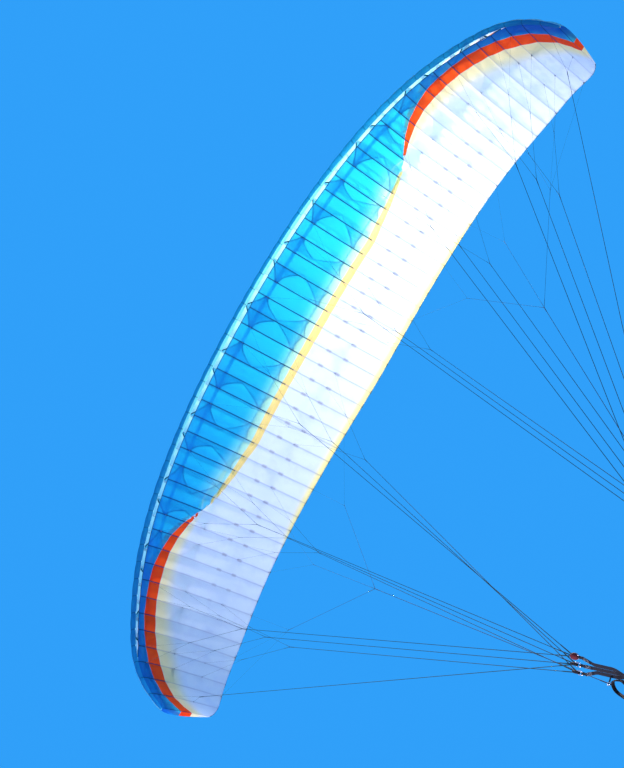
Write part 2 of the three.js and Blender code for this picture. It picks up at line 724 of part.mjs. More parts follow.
function buildSide(sideName, sign) {
  const frame = riserFrame(sign);
  const linkCentre = (row) => frame.place(row.place * MAILLON_SPREAD, 0, frame.length);
  const { linkForward, linkOutward } = frame;
  const wireTop = frame.length - LINK_HEIGHT / 2 + LINK_WIRE / 2;
  const eyeTop = wireTop + GAP + WEB_THICKNESS / 2;
  const eyeFoot = eyeTop - EYE_HEIGHT;

  // Hang loop: the seat of the rider's carabiner is its lower inside.
  const hangCentre = frame.place(0, 0, STRAP_FOOT - GAP - HANG_LOOP_HEIGHT / 2
    - HANG_LOOP_THICKNESS / 2);
  const hangLoop = bandSolid(
    loopPoints(hangCentre, frame.lowOutward, frame.along, HANG_LOOP_WIDTH, HANG_LOOP_HEIGHT,
      HANG_LOOP_CORNER, 3),
    frame.lowForward, HANG_LOOP_WEB, HANG_LOOP_THICKNESS, true,
  );
  addMesh(`${sideName}_hang_loop`, geometryFromSolid(hangLoop), 'webbing');

  LINE_ROWS.forEach((row) => {
    const link = linkCentre(row);
    const x = row.place * MAILLON_SPREAD;

    // Riser: flat webbing from the stack over the hang loop to a sewn eye.
    const eye = bandSolid(
      loopPoints(frame.place(x, 0, (eyeTop + eyeFoot) / 2), linkOutward, frame.along,
        EYE_WIDTH, EYE_HEIGHT, EYE_CORNER, 1),
      linkForward, EYE_WEB, WEB_THICKNESS, true,
    );
    const heights = strapHeights(eyeFoot);
    const strap = bandSolid(
      heights.map((up) => strapPlace(frame, row, up, eyeFoot)),
      heights.map((up) => frame.forwardAt(up)), WEB_WIDTH, WEB_THICKNESS, false,
    );
    addMesh(`${sideName}_riser_${row.name}`, geometryFromSolid(joined([strap, eye])), 'webbing');

    // Link: an upright oval of steel wire; the eye holds its foot, the lines its head.
    const linkRing = wireRing(
      loopPoints(link, linkForward, frame.along, LINK_WIDTH, LINK_HEIGHT, LINK_CORNER, 2),
      linkOutward, LINK_WIRE / 2, LINK_SIDES,
    );
    addMesh(`${sideName}_link_${row.name}`, geometryFromSolid(linkRing), 'steel');

    // Lines of this row: they leave a sewn block on the link, side by side.
    const foot = frame.place(x, 0, frame.length + (LINK_HEIGHT + LINK_WIRE + BLOCK_HEIGHT) / 2
      + TIE_GAP);
    const forks = MAIN_TIES.map((pairs) => ({
      ties: pairs.map((pair) => ({
        ties: pair.map((rib) => sailTie(rib * sign, row.chord)), forkAt: UPPER_FORK,
      })),
      forkAt: MAIN_FORK,
    }));
    if (row.name === 'b') {
      forks.push({
        ties: TIP_TIES.map((tie) => sailTie(tie.rib * sign, tie.chord)), forkAt: TIP_FORK,
      });
    }
    const tree = new LineTree();
    const bottom = tree.ring(foot.clone().addScaledVector(frame.along, -BLOCK_HEIGHT / 2),
      frame.along, linkOutward, forks.length * FOOT_PITCH, BLOCK_THICK);
    tree.floor(bottom);
    const starts = tree.block(bottom, foot, frame.along, linkOutward, forks.length, FOOT_PITCH);
    tree.lines(starts, forks, linkOutward, MAIN_WIDTH);
    addMesh(`${sideName}_${row.name}_lines`, tree.geometry(), 'line');
  });

  // Brake: handle, ring on the rear riser, and the line that fans to the trailing edge.
  const ties = BRAKE_TIES.map((ribs) => ribs.map((rib) => sailTie(rib * sign, BRAKE_TIE_CHORD)));
  const rearRow = LINE_ROWS[LINE_ROWS.length - 1];
  const carrier = strapPlace(frame, rearRow, frame.length - BRAKE_RING_DOWN, eyeFoot);
  const ringCentre = carrier.clone().addScaledVector(linkForward, -BRAKE_RING_BACK)
    .addScaledVector(linkOutward, BRAKE_RING_OUT);
  const pull = meanPoint(ties.map((set) => meanPoint(set))).sub(ringCentre).normalize();
  const handleTop = ringCentre.clone().addScaledVector(pull, -HANDLE_BELOW_RING);
  const tree = new LineTree();
  const brakeFoot = tree.ring(handleTop, pull, squareTo(linkForward, pull),
    MAIN_WIDTH, MAIN_WIDTH);
  tree.floor(brakeFoot);
  tree.fork(brakeFoot, {
    ties: ties.map((set) => ({ ties: set, forkAt: BRAKE_UPPER_FORK })),
    forkAt: BRAKE_MAIN_FORK,
  }, MAIN_WIDTH);
  addMesh(`${sideName}_brake_lines`, tree.geometry(), 'brakeLine');

  // Handle: a band bent to a rounded triangle, its apex at the line.
  const handleAcross = squareTo(linkForward, pull);
  const handleSide = handleAcross.clone().cross(pull).normalize();
  const handleHead = handleTop.clone()
    .addScaledVector(pull, -HANDLE_THICKNESS * HANDLE_APEX - TIE_GAP);
  const handle = bandSolid(HANDLE_SHAPE.map(([w, h]) => handleHead.clone()
    .addScaledVector(handleAcross, w * HANDLE_WIDTH)
    .addScaledVector(pull, h * HANDLE_LENGTH)), handleSide, HANDLE_WEB, HANDLE_THICKNESS, true);
  addMesh(`${sideName}_brake_handle`, geometryFromSolid(handle), 'webbing');

  // Ring and the short tab that carries it on the rear riser.
  const ringPoints = [];
  const ringRadius = BRAKE_RING_HOLE + BRAKE_RING_WIRE;
  for (let i = 0; i < RING_POINTS; i += 1) {
    const angle = (i * 2 * Math.PI) / RING_POINTS;
    ringPoints.push(ringCentre.clone()
      .addScaledVector(handleAcross, ringRadius * Math.cos(angle))
      .addScaledVector(handleSide, ringRadius * Math.sin(angle)));
  }
  addMesh(`${sideName}_brake_ring`,
    geometryFromSolid(wireRing(ringPoints, pull, BRAKE_RING_WIRE, RING_SIDES)), 'steel');

  const tabRoot = carrier.clone().addScaledVector(linkOutward, WEB_THICKNESS / 2 + GAP);
  const tabBend = carrier.clone().addScaledVector(linkOutward, TAB_BEND);
  const toRing = ringCentre.clone().sub(tabBend).normalize();
  const tabEnd = ringCentre.clone()
    .addScaledVector(toRing, -(BRAKE_RING_HOLE + 2 * BRAKE_RING_WIRE + TIE_GAP));
  const tab = bandSolid([tabRoot, tabBend, tabEnd], frame.along, TAB_WEB, TAB_THICKNESS, false);
  addMesh(`${sideName}_brake_tab`, geometryFromSolid(tab), 'webbing');
}

buildSide('left', 1);
buildSide('right', -1);

export default group;
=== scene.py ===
import math

import bpy
import numpy as np
from mathutils import Matrix, Vector
from mathutils.geometry import tessellate_polygon


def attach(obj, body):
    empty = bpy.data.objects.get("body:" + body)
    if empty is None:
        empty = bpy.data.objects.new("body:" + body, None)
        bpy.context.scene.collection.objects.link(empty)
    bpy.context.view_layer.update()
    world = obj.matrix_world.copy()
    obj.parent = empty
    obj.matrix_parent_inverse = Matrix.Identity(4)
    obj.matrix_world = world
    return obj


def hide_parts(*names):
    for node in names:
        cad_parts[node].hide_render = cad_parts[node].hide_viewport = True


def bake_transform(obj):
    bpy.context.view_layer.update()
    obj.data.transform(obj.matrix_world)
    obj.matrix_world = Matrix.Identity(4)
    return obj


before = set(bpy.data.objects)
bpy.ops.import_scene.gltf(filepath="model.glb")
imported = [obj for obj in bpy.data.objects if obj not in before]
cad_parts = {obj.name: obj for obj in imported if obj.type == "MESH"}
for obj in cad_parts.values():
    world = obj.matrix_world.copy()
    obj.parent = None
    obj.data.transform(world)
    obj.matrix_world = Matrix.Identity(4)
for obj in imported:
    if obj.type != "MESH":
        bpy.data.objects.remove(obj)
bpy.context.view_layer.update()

# Camera: from below and ahead, rolled, as the photograph was taken.
IMAGE_HEIGHT = 768
SENSOR = 36
CAMERA_AT = Vector((3.634, 0.56, -3.167))
CAMERA_AIM = Vector((-0.149, -0.351, 6.5))
CAMERA_ROLL = math.radians(30.117)
CAMERA_FOCUS = 887.6  # focal length in pixels of the photograph
CAMERA_REACH = 200
ROLL_GUIDE = Vector((0, 1, 0))

# Shape of the canopy, with the same named values as the part's own source.
HALF_CELLS = 25
HALF_SPAN = 5.71
TIP_CUT = 0.989
CELL_CROWDING = 0.033
TIP_ANGLE = math.radians(95.9)
TIP_CURL = 0.327
ARCH_HEIGHT = 8.26
ROOT_CHORD = 2.337
TIP_CHORD_SHARE = 0.234
PLANFORM_A = 1.617
PLANFORM_B = 0.57
NOSE_FORWARD = 0.612
TIP_SWEEP = 0.662
SWEEP_POWER = 4.14
SHOULDER = 0.07
SHOULDER_AT = 0.897
SHOULDER_WIDTH = 0.105
CHORD_TILT = math.radians(2)
TIP_TOE = math.radians(12.4)
LAST_TOE = math.radians(11.7)
LAST_TOE_POWER = 24
PROFILE_THICKNESS = 0.15
PROFILE_TERMS = ((0.5, 0.2969), (1, -0.126), (2, -0.3516), (3, 0.2843), (4, -0.1015))
PROFILE_CAMBER = 0.025
CAMBER_AT = 0.25
TIP_THINNING = 0.55
THINNING_POWER = 10
TRAILING_HALF = 0.003  # half the thickness at the sewn trailing edge
UPPER_BILLOW = 0.024
LOWER_BILLOW = 0.015
BILLOW_NOSE = 0.18
BILLOW_SKEW = 0.62
BILLOW_LEAST = 0.15
BILLOW_TIP = 0.35
INTAKE_TOP = 0.024
INTAKE_BOTTOM = 0.046
INTAKE_SEAM = 0.0005
OPEN_CELLS = 21

CELL_STEPS = 8  # mesh steps across one cell
CHORD_STEPS = 64  # mesh steps along the chord
NOSE_STEPS = 8  # mesh steps under the nose
TIP_STEPS = 6  # mesh steps round the tip
ARCH_STEPS = 2000
TINY = 1e-12

SIDES = {"left": 1, "right": -1}
SECTIONS = ("inner", "middle", "tip")
LOAD_PAIRS = ((1, 2), (5, 6), (9, 10), (13, 14), (17, 18), (21, 22))
ROW_CHORDS = {"a": 0.105, "b": 0.39, "c": 0.71}
FORWARD = np.array((1.0, 0, 0))


def unit(vectors):
    return vectors / np.maximum(np.linalg.norm(vectors, axis=-1, keepdims=True), TINY)


def square_to(direction, axis):
    return unit(direction - axis * (direction @ axis))


def round_turn(count):
    return np.linspace(0, 2 * np.pi, count, endpoint=False)


def even_ends(count):
    """Shares from 0 to 1, closer together at both ends."""
    return (1 - np.cos(np.linspace(0, np.pi, count))) / 2


def span_share(cells):
    s = np.abs(cells) / HALF_CELLS
    return TIP_CUT * s * (1 + CELL_CROWDING * (1 - s * s))


def turn_at(u):
    return TIP_ANGLE * ((1 - TIP_CURL) * u + TIP_CURL * u**4)


ARCH_U = np.linspace(0, 1, ARCH_STEPS + 1)
ARCH_TURN = turn_at((ARCH_U[1:] + ARCH_U[:-1]) / 2)
ARCH_Y = np.append(0, np.cumsum(np.cos(ARCH_TURN))) * HALF_SPAN / ARCH_STEPS
ARCH_Z = -np.append(0, np.cumsum(np.sin(ARCH_TURN))) * HALF_SPAN / ARCH_STEPS


def chord_at(u):
    body = np.maximum(1 - u**PLANFORM_A, 0) ** PLANFORM_B
    return ROOT_CHORD * (TIP_CHORD_SHARE + (1 - TIP_CHORD_SHARE) * body)


def nose_at(u):
    shoulder = SHOULDER * np.exp(-(((u - SHOULDER_AT) / SHOULDER_WIDTH) ** 2))
    return NOSE_FORWARD - TIP_SWEEP * u**SWEEP_POWER + shoulder


def profile_at(x, u):
    half = 5 * PROFILE_THICKNESS * (1 - TIP_THINNING * u**THINNING_POWER)
    half = half * sum(factor * x**power for power, factor in PROFILE_TERMS)
    rise = 2 * CAMBER_AT * x - x * x
    front = PROFILE_CAMBER / CAMBER_AT**2 * rise
    back = PROFILE_CAMBER / (1 - CAMBER_AT) ** 2 * (1 - 2 * CAMBER_AT + rise)
    middle = np.where(x < CAMBER_AT, front, back)
    return middle + half, middle - half


def section_place(cells, x, height):
    """Points from cells out (left +), chord share behind the nose, height off the chord line."""
    cells, x, height = np.broadcast_arrays(np.asarray(cells, float), x, height)
    u = span_share(cells)
    sign = np.sign(cells)
    turn = turn_at(u) * sign
    toe = (TIP_TOE * u**2 + LAST_TOE * u**LAST_TOE_POWER) * sign
    along = chord_at(u) * x
    lift = height * math.cos(CHORD_TILT) + along * math.sin(CHORD_TILT)
    aside = along * np.sin(toe)
    arch_y = np.interp(u, ARCH_U, ARCH_Y) * sign
    arch_z = np.interp(u, ARCH_U, ARCH_Z) + ARCH_HEIGHT
    return np.stack([
        nose_at(u) - along * math.cos(CHORD_TILT) * np.cos(toe) + height * math.sin(CHORD_TILT),
        arch_y + lift * np.sin(turn) - aside * np.cos(turn),
        arch_z + lift * np.cos(turn) + aside * np.sin(turn),
    ], axis=-1)


def surface_height(cells, x, level):
    """Height of the sail there. level: 1 upper, -1 lower, and between them inside."""
    x = np.asarray(x, float)
    u = span_share(cells)
    upper, lower = profile_at(x, u)
    top = chord_at(u) * upper + TRAILING_HALF * x
    bottom = chord_at(u) * lower - TRAILING_HALF * x
    return bottom + (top - bottom) * (level + 1) / 2


def sail_place(cells, x, level):
    return section_place(cells, x, surface_height(cells, x, level))


# Objects and meshes.

def add_object(name, data):
    made = bpy.data.objects.new(name, data)
    bpy.context.collection.objects.link(made)
    return made


def make_camera():
    forward = (CAMERA_AIM - CAMERA_AT).normalized()
    right = forward.cross(ROLL_GUIDE).normalized()
    up = right.cross(forward)
    across = math.cos(CAMERA_ROLL) * right + math.sin(CAMERA_ROLL) * up
    upward = math.cos(CAMERA_ROLL) * up - math.sin(CAMERA_ROLL) * right
    data = bpy.data.cameras.new("camera")
    data.sensor_width = SENSOR
    data.lens = CAMERA_FOCUS * SENSOR / IMAGE_HEIGHT
    data.clip_end = CAMERA_REACH
    camera = add_object("camera", data)
    turned = Matrix((across, upward, -forward)).transposed().to_4x4()
    camera.matrix_world = Matrix.Translation(CAMERA_AT) @ turned
    bpy.context.scene.camera = camera


def new_mesh(name, points, faces, *materials, smooth=True):
    mesh = bpy.data.meshes.new(name)
    mesh.from_pydata([tuple(p) for p in points], [], faces)
    mesh.update()
    if smooth:
        mesh.shade_smooth()
    for material in materials:
        mesh.materials.append(material)
    return add_object(name, mesh)


def grid_faces(rows, columns, flip=False):
    faces = []
    for i in range(rows - 1):
        for j in range(columns - 1):
            a = i * columns + j
            face = (a, a + columns, a + columns + 1, a + 1)
            faces.append(face[::-1] if flip else face)
    return faces


def add_values(piece, **values):
    for name, numbers in values.items():
        layer = piece.data.attributes.new(name, "FLOAT", "POINT")
        layer.data.foreach_set("value", np.asarray(numbers, np.float32).ravel())


def add_map(piece, across, along):
    """A UV map in metres of cloth, from two values at each point."""
    layer = piece.data.uv_layers.new(name="cloth")
    index = np.zeros(len(piece.data.loops), np.int32)
    piece.data.loops.foreach_get("vertex_index", index)
    places = np.stack([np.ravel(across)[index], np.ravel(along)[index]], axis=1)
    layer.data.foreach_set("uv", places.astype(np.float32).ravel())


# Where the left half of the canopy starts and ends by its brake; settle reads them, and nothing
# bends the canopy with them.
BRAKE_START = (-1.087, 1.691, 7.946)
BRAKE_END = (-1.463, 1.823, 7.984)


def settle(piece, slot, *nodes, body="wing", bends=None):
    """Hides the nodes that it stands for and ties it to the body that it moves with; when bends
    names a side, it only fixes its place into its points, and nothing bends it. The slot is not
    used."""
    if nodes:
        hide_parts(*nodes)
    if bends:
        start, end = [(x, y * SIDES[bends], z) for x, y, z in (BRAKE_START, BRAKE_END)]
        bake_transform(piece)
        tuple(start)
        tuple(end)
    else:
        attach(piece, body)


def settle_cloth(piece, slot, side, flat, area, *nodes):
    settle(piece, slot, *nodes, bends=side)


# Colour borders on the sail: chord shares at a number of cells from the middle.
STRIPE_MIDDLE = ((0, 0.463), (5, 0.465), (7, 0.468), (8, 0.45), (9.2, 0.43), (10.4, 0.4),
                 (11.5, 0.362), (12.2, 0.318), (13, 0.28), (14.4, 0.21), (25, 0.1))
STRIPE_HALF = ((0, 0.028), (7, 0.027), (9, 0.022), (11, 0.015), (12.2, 0.001), (12.6, -0.01),
               (25, -0.01))
RED_FRONT = ((0, 0.6), (11.4, 0.44), (12, 0.331), (12.2, 0.306), (13.2, 0.232), (14.1, 0.178),
             (15.3, 0.132), (16.3, 0.105), (17.6, 0.093), (19.2, 0.086), (20.4, 0.1),
             (21.5, 0.119), (22.6, 0.134), (23.8, 0.168), (24.4, 0.235), (24.8, 0.31), (25, 0.4))
RED_BACK = ((0, 0.5), (11.4, 0.3), (12, 0.322), (12.2, 0.324), (13.1, 0.275), (14.1, 0.232),
            (15.1, 0.202), (16.1, 0.188), (17.3, 0.176), (18.4, 0.174), (19.9, 0.19), (21, 0.215),
            (22, 0.25), (22.8, 0.268), (23.5, 0.295), (24.1, 0.345), (24.6, 0.44), (25, 0.62))
CREAM_REACH = ((0, 0), (12.2, 0.02), (14, 0.07), (17, 0.11), (19.6, 0.155), (21.1, 0.19),
               (23.2, 0.22), (25, 0.24))
EDGE_BAND = ((0, 0.072), (9, 0.07), (11, 0.06), (13.5, 0), (25, 0))
RED_FROM = 12  # cells from the middle where the red takes over as border


def add_colour_borders(piece, cells, x, on_seam):
    """Distances in metres of chord to each border, so that their edges stay sharp."""
    out = np.abs(cells)
    chord = chord_at(span_share(cells))
    middle, half, red_front, red_back, cream, edge = [
        np.interp(out, *zip(*table)) for table in
        (STRIPE_MIDDLE, STRIPE_HALF, RED_FRONT, RED_BACK, CREAM_REACH, EDGE_BAND)]
    field_end = np.where(out < RED_FROM, middle, red_front)
    between = 0.5 - np.abs(out % 1 - 0.5)
    add_values(
        piece, past_field=(x - field_end) * chord, in_stripe=(half - np.abs(x - middle)) * chord,
        in_red=np.minimum(x - red_front, red_back - x) * chord, past_red=(x - red_back) * chord,
        cream_reach=cream * chord, in_edge=(x - 1 + edge) * chord, cells=cells, chord_share=x,
        from_rib=np.where(on_seam, between, 0.5) * HALF_SPAN / HALF_CELLS)


# Wrinkles and swelling of the cloth between two ribs.
WRINKLES = (  # along the chord: pitch (m), height (m), phase per cell
    (0.19, 0.002, 2.1),
    (0.11, 0.0014, 4.3),
    (0.071, 0.0009, 1.2),
)
WRINKLE_LEAN = 0.05  # metres that a wrinkle runs askew across its cell, at most
LEAN_CHANGE = 1.7  # turn of that lean from cell to cell
WRINKLE_NOSE = 0.4  # share of the wrinkles' height at the nose, more behind
CREASE_REACH = 0.3  # share of a cell that the creases beside a seam reach
OTHER_HALF = 40  # added to the cell numbers of the right half
SWELL_POWER = 0.85  # roundness of a cell from rib to rib
NOSE_SWELL = 0.25  # share of the swelling at the nose, all of it from NOSE_END
NOSE_END = 0.06
SCALLOP = 0.0045  # how far the trailing edge curves in, chord share
SCALLOP_FROM = 0.9


def swelling(cells, x, amount):
    chord = chord_at(span_share(cells))
    fraction = np.abs(cells) % 1
    hump = np.sin(np.pi * fraction)
    wave = np.sin(np.pi * np.minimum(x + BILLOW_NOSE, 1) ** BILLOW_SKEW)
    along = BILLOW_LEAST + (1 - BILLOW_LEAST) * wave
    size = BILLOW_TIP + (1 - BILLOW_TIP) * chord / ROOT_CHORD
    nose = NOSE_SWELL + (1 - NOSE_SWELL) * np.clip(x / NOSE_END, 0, 1)
    swell = amount * size * hump**SWELL_POWER * along * nose
    cell = np.floor(np.abs(cells)) + OTHER_HALF * (cells < 0)
    beside = np.exp(-np.minimum(fraction, 1 - fraction) / CREASE_REACH) * hump
    lean = WRINKLE_LEAN * np.sin(cell * LEAN_CHANGE) * fraction
    for pitch, height, phase in WRINKLES:
        crease = np.sin(2 * np.pi * (x * chord + lean) / pitch + phase * cell)
        swell = swell + height * crease * beside * (WRINKLE_NOSE + x)
    return swell


def scallop(cells, x):
    """The trailing edge curves in a little between two ribs."""
    near_end = np.clip((x - SCALLOP_FROM) / (1 - SCALLOP_FROM), 0, 1)
    return x - SCALLOP * np.sin(np.pi * (np.abs(cells) % 1)) * near_end


def intake_bottom(cells):
    closed = np.clip(np.abs(cells) - OPEN_CELLS, 0, 1)
    return INTAKE_BOTTOM + (INTAKE_TOP + INTAKE_SEAM - INTAKE_BOTTOM) * closed


def flat_area(base):
    """Area of the cloth before it swells: each strip from rib to rib, laid flat."""
    crossed = np.cross(base[1:, 1:] - base[:-1, :-1], base[1:, :-1] - base[:-1, 1:])
    return float(np.linalg.norm(crossed, axis=-1).sum() / 2)


def build_sail(side, face, material, cells, x, level, billow, flat_chord, *tip_nodes):
    """One sail as a grid: a row for each place across, a column for each place along."""
    cells, x, level = np.broadcast_arrays(cells[:, None], x, level)
    x = scallop(cells, x)
    base = sail_place(cells, x, level)
    turned = unit(np.cross(np.gradient(base, axis=0), np.gradient(base, axis=1)))
    inward = turned * SIDES[side]
    points = base - inward * swelling(cells, x, billow)[..., None]
    faces = grid_faces(*cells.shape, flip=side == "left")
    piece = new_mesh(f"{side}_{face}_sail", points.reshape(-1, 3), faces, material)
    add_values(piece, on_top=level > 0)
    add_colour_borders(piece, cells, x, on_seam=np.abs(level) == 1)
    along = np.cumsum(np.linalg.norm(np.diff(base, axis=1, prepend=base[:, :1]), axis=-1), axis=1)
    add_map(piece, span_share(cells) * HALF_SPAN, along)
    settle_cloth(piece, f"{face}_cloth", side, (HALF_SPAN, flat_chord), flat_area(base),
                 *tip_nodes, *[f"{face}_sail_{side}_{part}" for part in SECTIONS])


# Materials.

class Shader:
    """A material's node tree, built by short calls. Each gives the socket of its result."""

    def __init__(self, name):
        self.material = bpy.data.materials.new(name)
        self.material.use_nodes = True
        self.tree = self.material.node_tree
        self.tree.nodes.clear()
        self.output = self.tree.nodes.new("ShaderNodeOutputMaterial")

    def put(self, socket, value):
        if isinstance(value, bpy.types.NodeSocket):
            self.tree.links.new(value, socket)
        else:
            socket.default_value = (*value, 1) if socket.type == "RGBA" else value

    def node(self, kind, inputs=None, output=0, **settings):
        made = self.tree.nodes.new("ShaderNode" + kind)
        for key, value in settings.items():
            setattr(made, key, value)
        for key, value in (inputs or {}).items():
            self.put(made.inputs[key], value)
        return made.outputs[output]

    def math(self, operation, *values):
        return self.node("Math", dict(enumerate(values)), operation=operation)

    def times(self, a, b):
        return self.math("MULTIPLY", a, b)

    def scaled(self, value, factor, base):
        return self.math("MULTIPLY_ADD", value, factor, base)

    def less(self, value):
        return self.math("SUBTRACT", 1, value)

    def most(self, *values):
        return self.math("MAXIMUM", *values)

    def away(self, value, middle):
        return self.math("ABSOLUTE", self.math("SUBTRACT", value, middle))

    def step(self, value, low, high):
        """0 below low, 1 above high, smooth between."""
        inputs = {"Value": value, "From Min": low, "From Max": high}
        return self.node("MapRange", inputs, interpolation_type="SMOOTHSTEP")

    def below(self, value, low, high):
        return self.less(self.step(value, low, high))

    def blend(self, factor, a, b):
        return self.node("Mix", {0: factor, 6: a, 7: b}, 2, data_type="RGBA")

    def value(self, name):
        return self.node("Attribute", output="Fac", attribute_name=name)

    def cells(self):
        return self.math("ABSOLUTE", self.value("cells"))

    def place(self):
        return self.node("TexCoord", output="Object")

    def cloth(self):
        """Metres across and along the cloth."""
        return self.node("UVMap", uv_map="cloth")

    def waves(self, vector, pitch, *axes):
        return [self.wave(self.dot(vector, axis), pitch) for axis in axes]

    def noise(self, vector, scale, detail, roughness=0.5):
        return self.node("TexNoise", {"Vector": vector, "Scale": scale, "Detail": detail,
                                      "Roughness": roughness})

    def dot(self, vector, direction):
        inputs = {0: vector, 1: direction}
        return self.node("VectorMath", inputs, "Value", operation="DOT_PRODUCT")

    def wave(self, value, pitch):
        """A sine from 0 to 1 with that pitch along value."""
        turned = self.times(value, 2 * math.pi / pitch)
        return self.scaled(self.math("SINE", turned), 0.5, 0.5)

    def bump(self, height, strength, distance):
        return self.node("Bump", {"Height": height, "Strength": strength, "Distance": distance})

    def principled(self, colour, roughness, normal, **inputs):
        values = {"Base Color": colour, "Roughness": roughness, "Normal": normal}
        values.update({key.replace("_", " "): value for key, value in inputs.items()})
        return self.node("BsdfPrincipled", values)

    def mix_shaders(self, factor, a, b):
        return self.node("MixShader", {0: factor, 1: a, 2: b})

    def finish(self, surface):
        self.tree.links.new(surface, self.output.inputs["Surface"])
        return self.material


# Colours of the cloth: as it throws light back, and as it lets light through.
SAIL_COLOURS = {
    "nose": ((0.001, 0.045, 0.38), (0.001, 0.15, 0.42)),
    "field": ((0.002, 0.1, 0.9), (0.052, 0.7, 0.75)),
    "pale": ((0.35, 0.74, 0.9), (0.48, 0.98, 0.94)),
    "white": ((0.64, 0.74, 0.86), (0.8, 0.92, 0.95)),
    # painted shade: the bluish tone of blotches of shade on the white
    "shade_blotch": ((0.52, 0.59, 0.82), (0.64, 0.74, 0.91)),
    "cream": ((0.9, 0.8, 0.46), (0.96, 0.9, 0.46)),
    "edge": ((0.93, 0.86, 0.42), (1, 0.92, 0.42)),
    "stripe": ((0.92, 0.64, 0.16), (1, 0.74, 0.24)),
    "red": ((0.9, 0.02, 0.006), (1, 0.11, 0.006)),
    "strip": ((0.1, 0.62, 0.76), (0.28, 1, 0.96)),
}
SEAMS = ((0.001, 0.032, 0.17), (0, 0.06, 0.08))
WHITE_SEAMS = ((0.32, 0.34, 0.5), (0.22, 0.24, 0.36))
# Tone of the painted shadows of the straps inside, at the ribs.
RIB_SHADOW_TONE = (0.2, 0.19, 0.24)
TAIL_HEM = (0.01, 0.08, 0.11)  # the sewn edge at the very back
BLACK = (0, 0, 0)
ACROSS, ALONG = (1, 0, 0), (0, 1, 0)
STRAND = 0.0016  # pitch of the strands in a sheath and of the ribs across a strap
YARN = 0.0013

# Soft steps of the pattern, from and to: metres of chord where nothing else is said.
FIELD_STEP = (-0.005, 0.005)
FADE = (-0.33, -0.01)  # the field grows paler toward the white
FADE_CELLS = (9.5, 12)  # cells out, where that ends
CREAM_STEP = (0, 0.006)
CREAM_FADE = (0.3, 1.25)  # shares of the cream's own reach
CREAM_LEAST = (0.02, 0.1)
EDGE_STEP = (0, 0.12)
STRIPE_STEP = (-0.008, 0.014)
RED_STEP = (-0.002, 0.002)
NOSE_PART = 0.07  # chord share of the darker nose, and what it gains further out
NOSE_GAINS = (((12, 18), 0.09), ((20.5, 24.5), 0.24))
SHADE_BLOTCH_STEP = (0.48, 0.66)  # of the noise; it makes painted blotches of bluish shade on the white
SHADE_BLOTCHES = 0.28
STRIP_START = (0.024, 0.012, 0.006)  # chord share: outer cells, inner cells, under the nose
STRIP_CELLS = (6, 12)
STRIP_END = (0.085, 0.11)  # chord shares
BEHIND_STRIP = (0.115, 0.125)
SEAM_WIDTH = (0.0045, 0.0105)
RIB_SHADOW_ROWS = (0.6, 0.728)  # chord shares of small painted shadows at the ribs
RIB_SHADOW_LENGTH = (0.01, 0.026)  # chord shares
RIB_SHADOW_WIDTH = (0.012, 0.03)
RIB_SHADOW_CELLS = (14, 19)
HEM_STEP = (0.9945, 0.996)  # chord shares
RIPSTOP = 0.0055  # pitch of the reinforcing threads
THREAD_DARK = 0.06


class SailPattern:
    """Layers of colour on the sail, from the distances kept on its points."""

    def __init__(self, shader, strip):
        self.shader = shader
        past_red = shader.value("past_red")
        reach = shader.value("cream_reach")
        share = shader.value("chord_share")
        cells = shader.cells()
        nose_end = NOSE_PART
        for where, gain in NOSE_GAINS:
            nose_end = shader.scaled(shader.step(cells, *where), gain, nose_end)
        self.behind_nose = shader.step(share, 0, nose_end)
        past_field = shader.value("past_field")
        fade = shader.times(shader.step(past_field, *FADE), shader.below(cells, *FADE_CELLS))
        self.white = shader.step(past_field, *FIELD_STEP)
        # Painted shade: noise makes bluish blotches of shade on the white.
        patches = shader.noise(shader.place(), scale=5, detail=3, roughness=0.6)
        self.shade_blotch = shader.times(shader.step(patches, *SHADE_BLOTCH_STEP), SHADE_BLOTCHES)
        behind = shader.math("DIVIDE", past_red, shader.most(reach, 0.001))
        cream = shader.times(shader.step(past_red, *CREAM_STEP), shader.below(behind, *CREAM_FADE))
        cream = shader.times(cream, shader.step(reach, *CREAM_LEAST))
        edge = shader.step(shader.value("in_edge"), *EDGE_STEP)
        stripe = shader.step(shader.value("in_stripe"), *STRIPE_STEP)
        red = shader.step(shader.value("in_red"), *RED_STEP)
        self.plain_white = shader.times(self.white, shader.less(red))
        if strip:
            behind_strip = shader.step(share, *BEHIND_STRIP)
            red = shader.times(red, behind_strip)
            cream = shader.times(cream, behind_strip)
        self.layers = [(self.behind_nose, "field"), (fade, "pale"), (self.white, "white"),
                       (cream, "cream"), (edge, "edge"), (stripe, "stripe"), (red, "red")]
        if strip:
            outer, inner, under = STRIP_START
            front = shader.scaled(shader.below(cells, *STRIP_CELLS), inner - outer, outer)
            front = shader.times(front, shader.less(shader.value("on_top")))
            front = shader.most(front, under)
            on_strip = shader.times(shader.math("GREATER_THAN", share, front),
                                    shader.below(share, *STRIP_END))
            self.layers.append((on_strip, "strip"))

    def painted(self, way, depth, share):
        """Way 0 is light thrown back, 1 light let through; depth below 1 makes the colours paler,
        share below 1 darker, as painted shade."""
        blend = self.shader.blend
        tone = {name: tuple(share * value**depth for value in ways[way])
                for name, ways in SAIL_COLOURS.items()}
        # The white carries painted blotches of bluish shade.
        tone["white"] = blend(self.shade_blotch, tone["white"], tone["shade_blotch"])
        colour = tone["nose"]
        for mask, name in self.layers:
            colour = blend(mask, colour, tone[name])
        return colour


def seam_marks(shader):
    """Lines where the ribs are sewn on, and short darker patches on them: painted shadows of the
    straps inside.
    """
    from_rib = shader.value("from_rib")
    share = shader.value("chord_share")
    line = shader.below(from_rib, *SEAM_WIDTH)
    rib_shadows = [shader.below(shader.away(share, row), *RIB_SHADOW_LENGTH) for row in RIB_SHADOW_ROWS]
    # tab: painted shadows of the straps inside, at the ribs.
    tab = shader.times(shader.below(from_rib, *RIB_SHADOW_WIDTH), shader.most(*rib_shadows))
    return line, shader.times(tab, shader.below(shader.cells(), *RIB_SHADOW_CELLS))


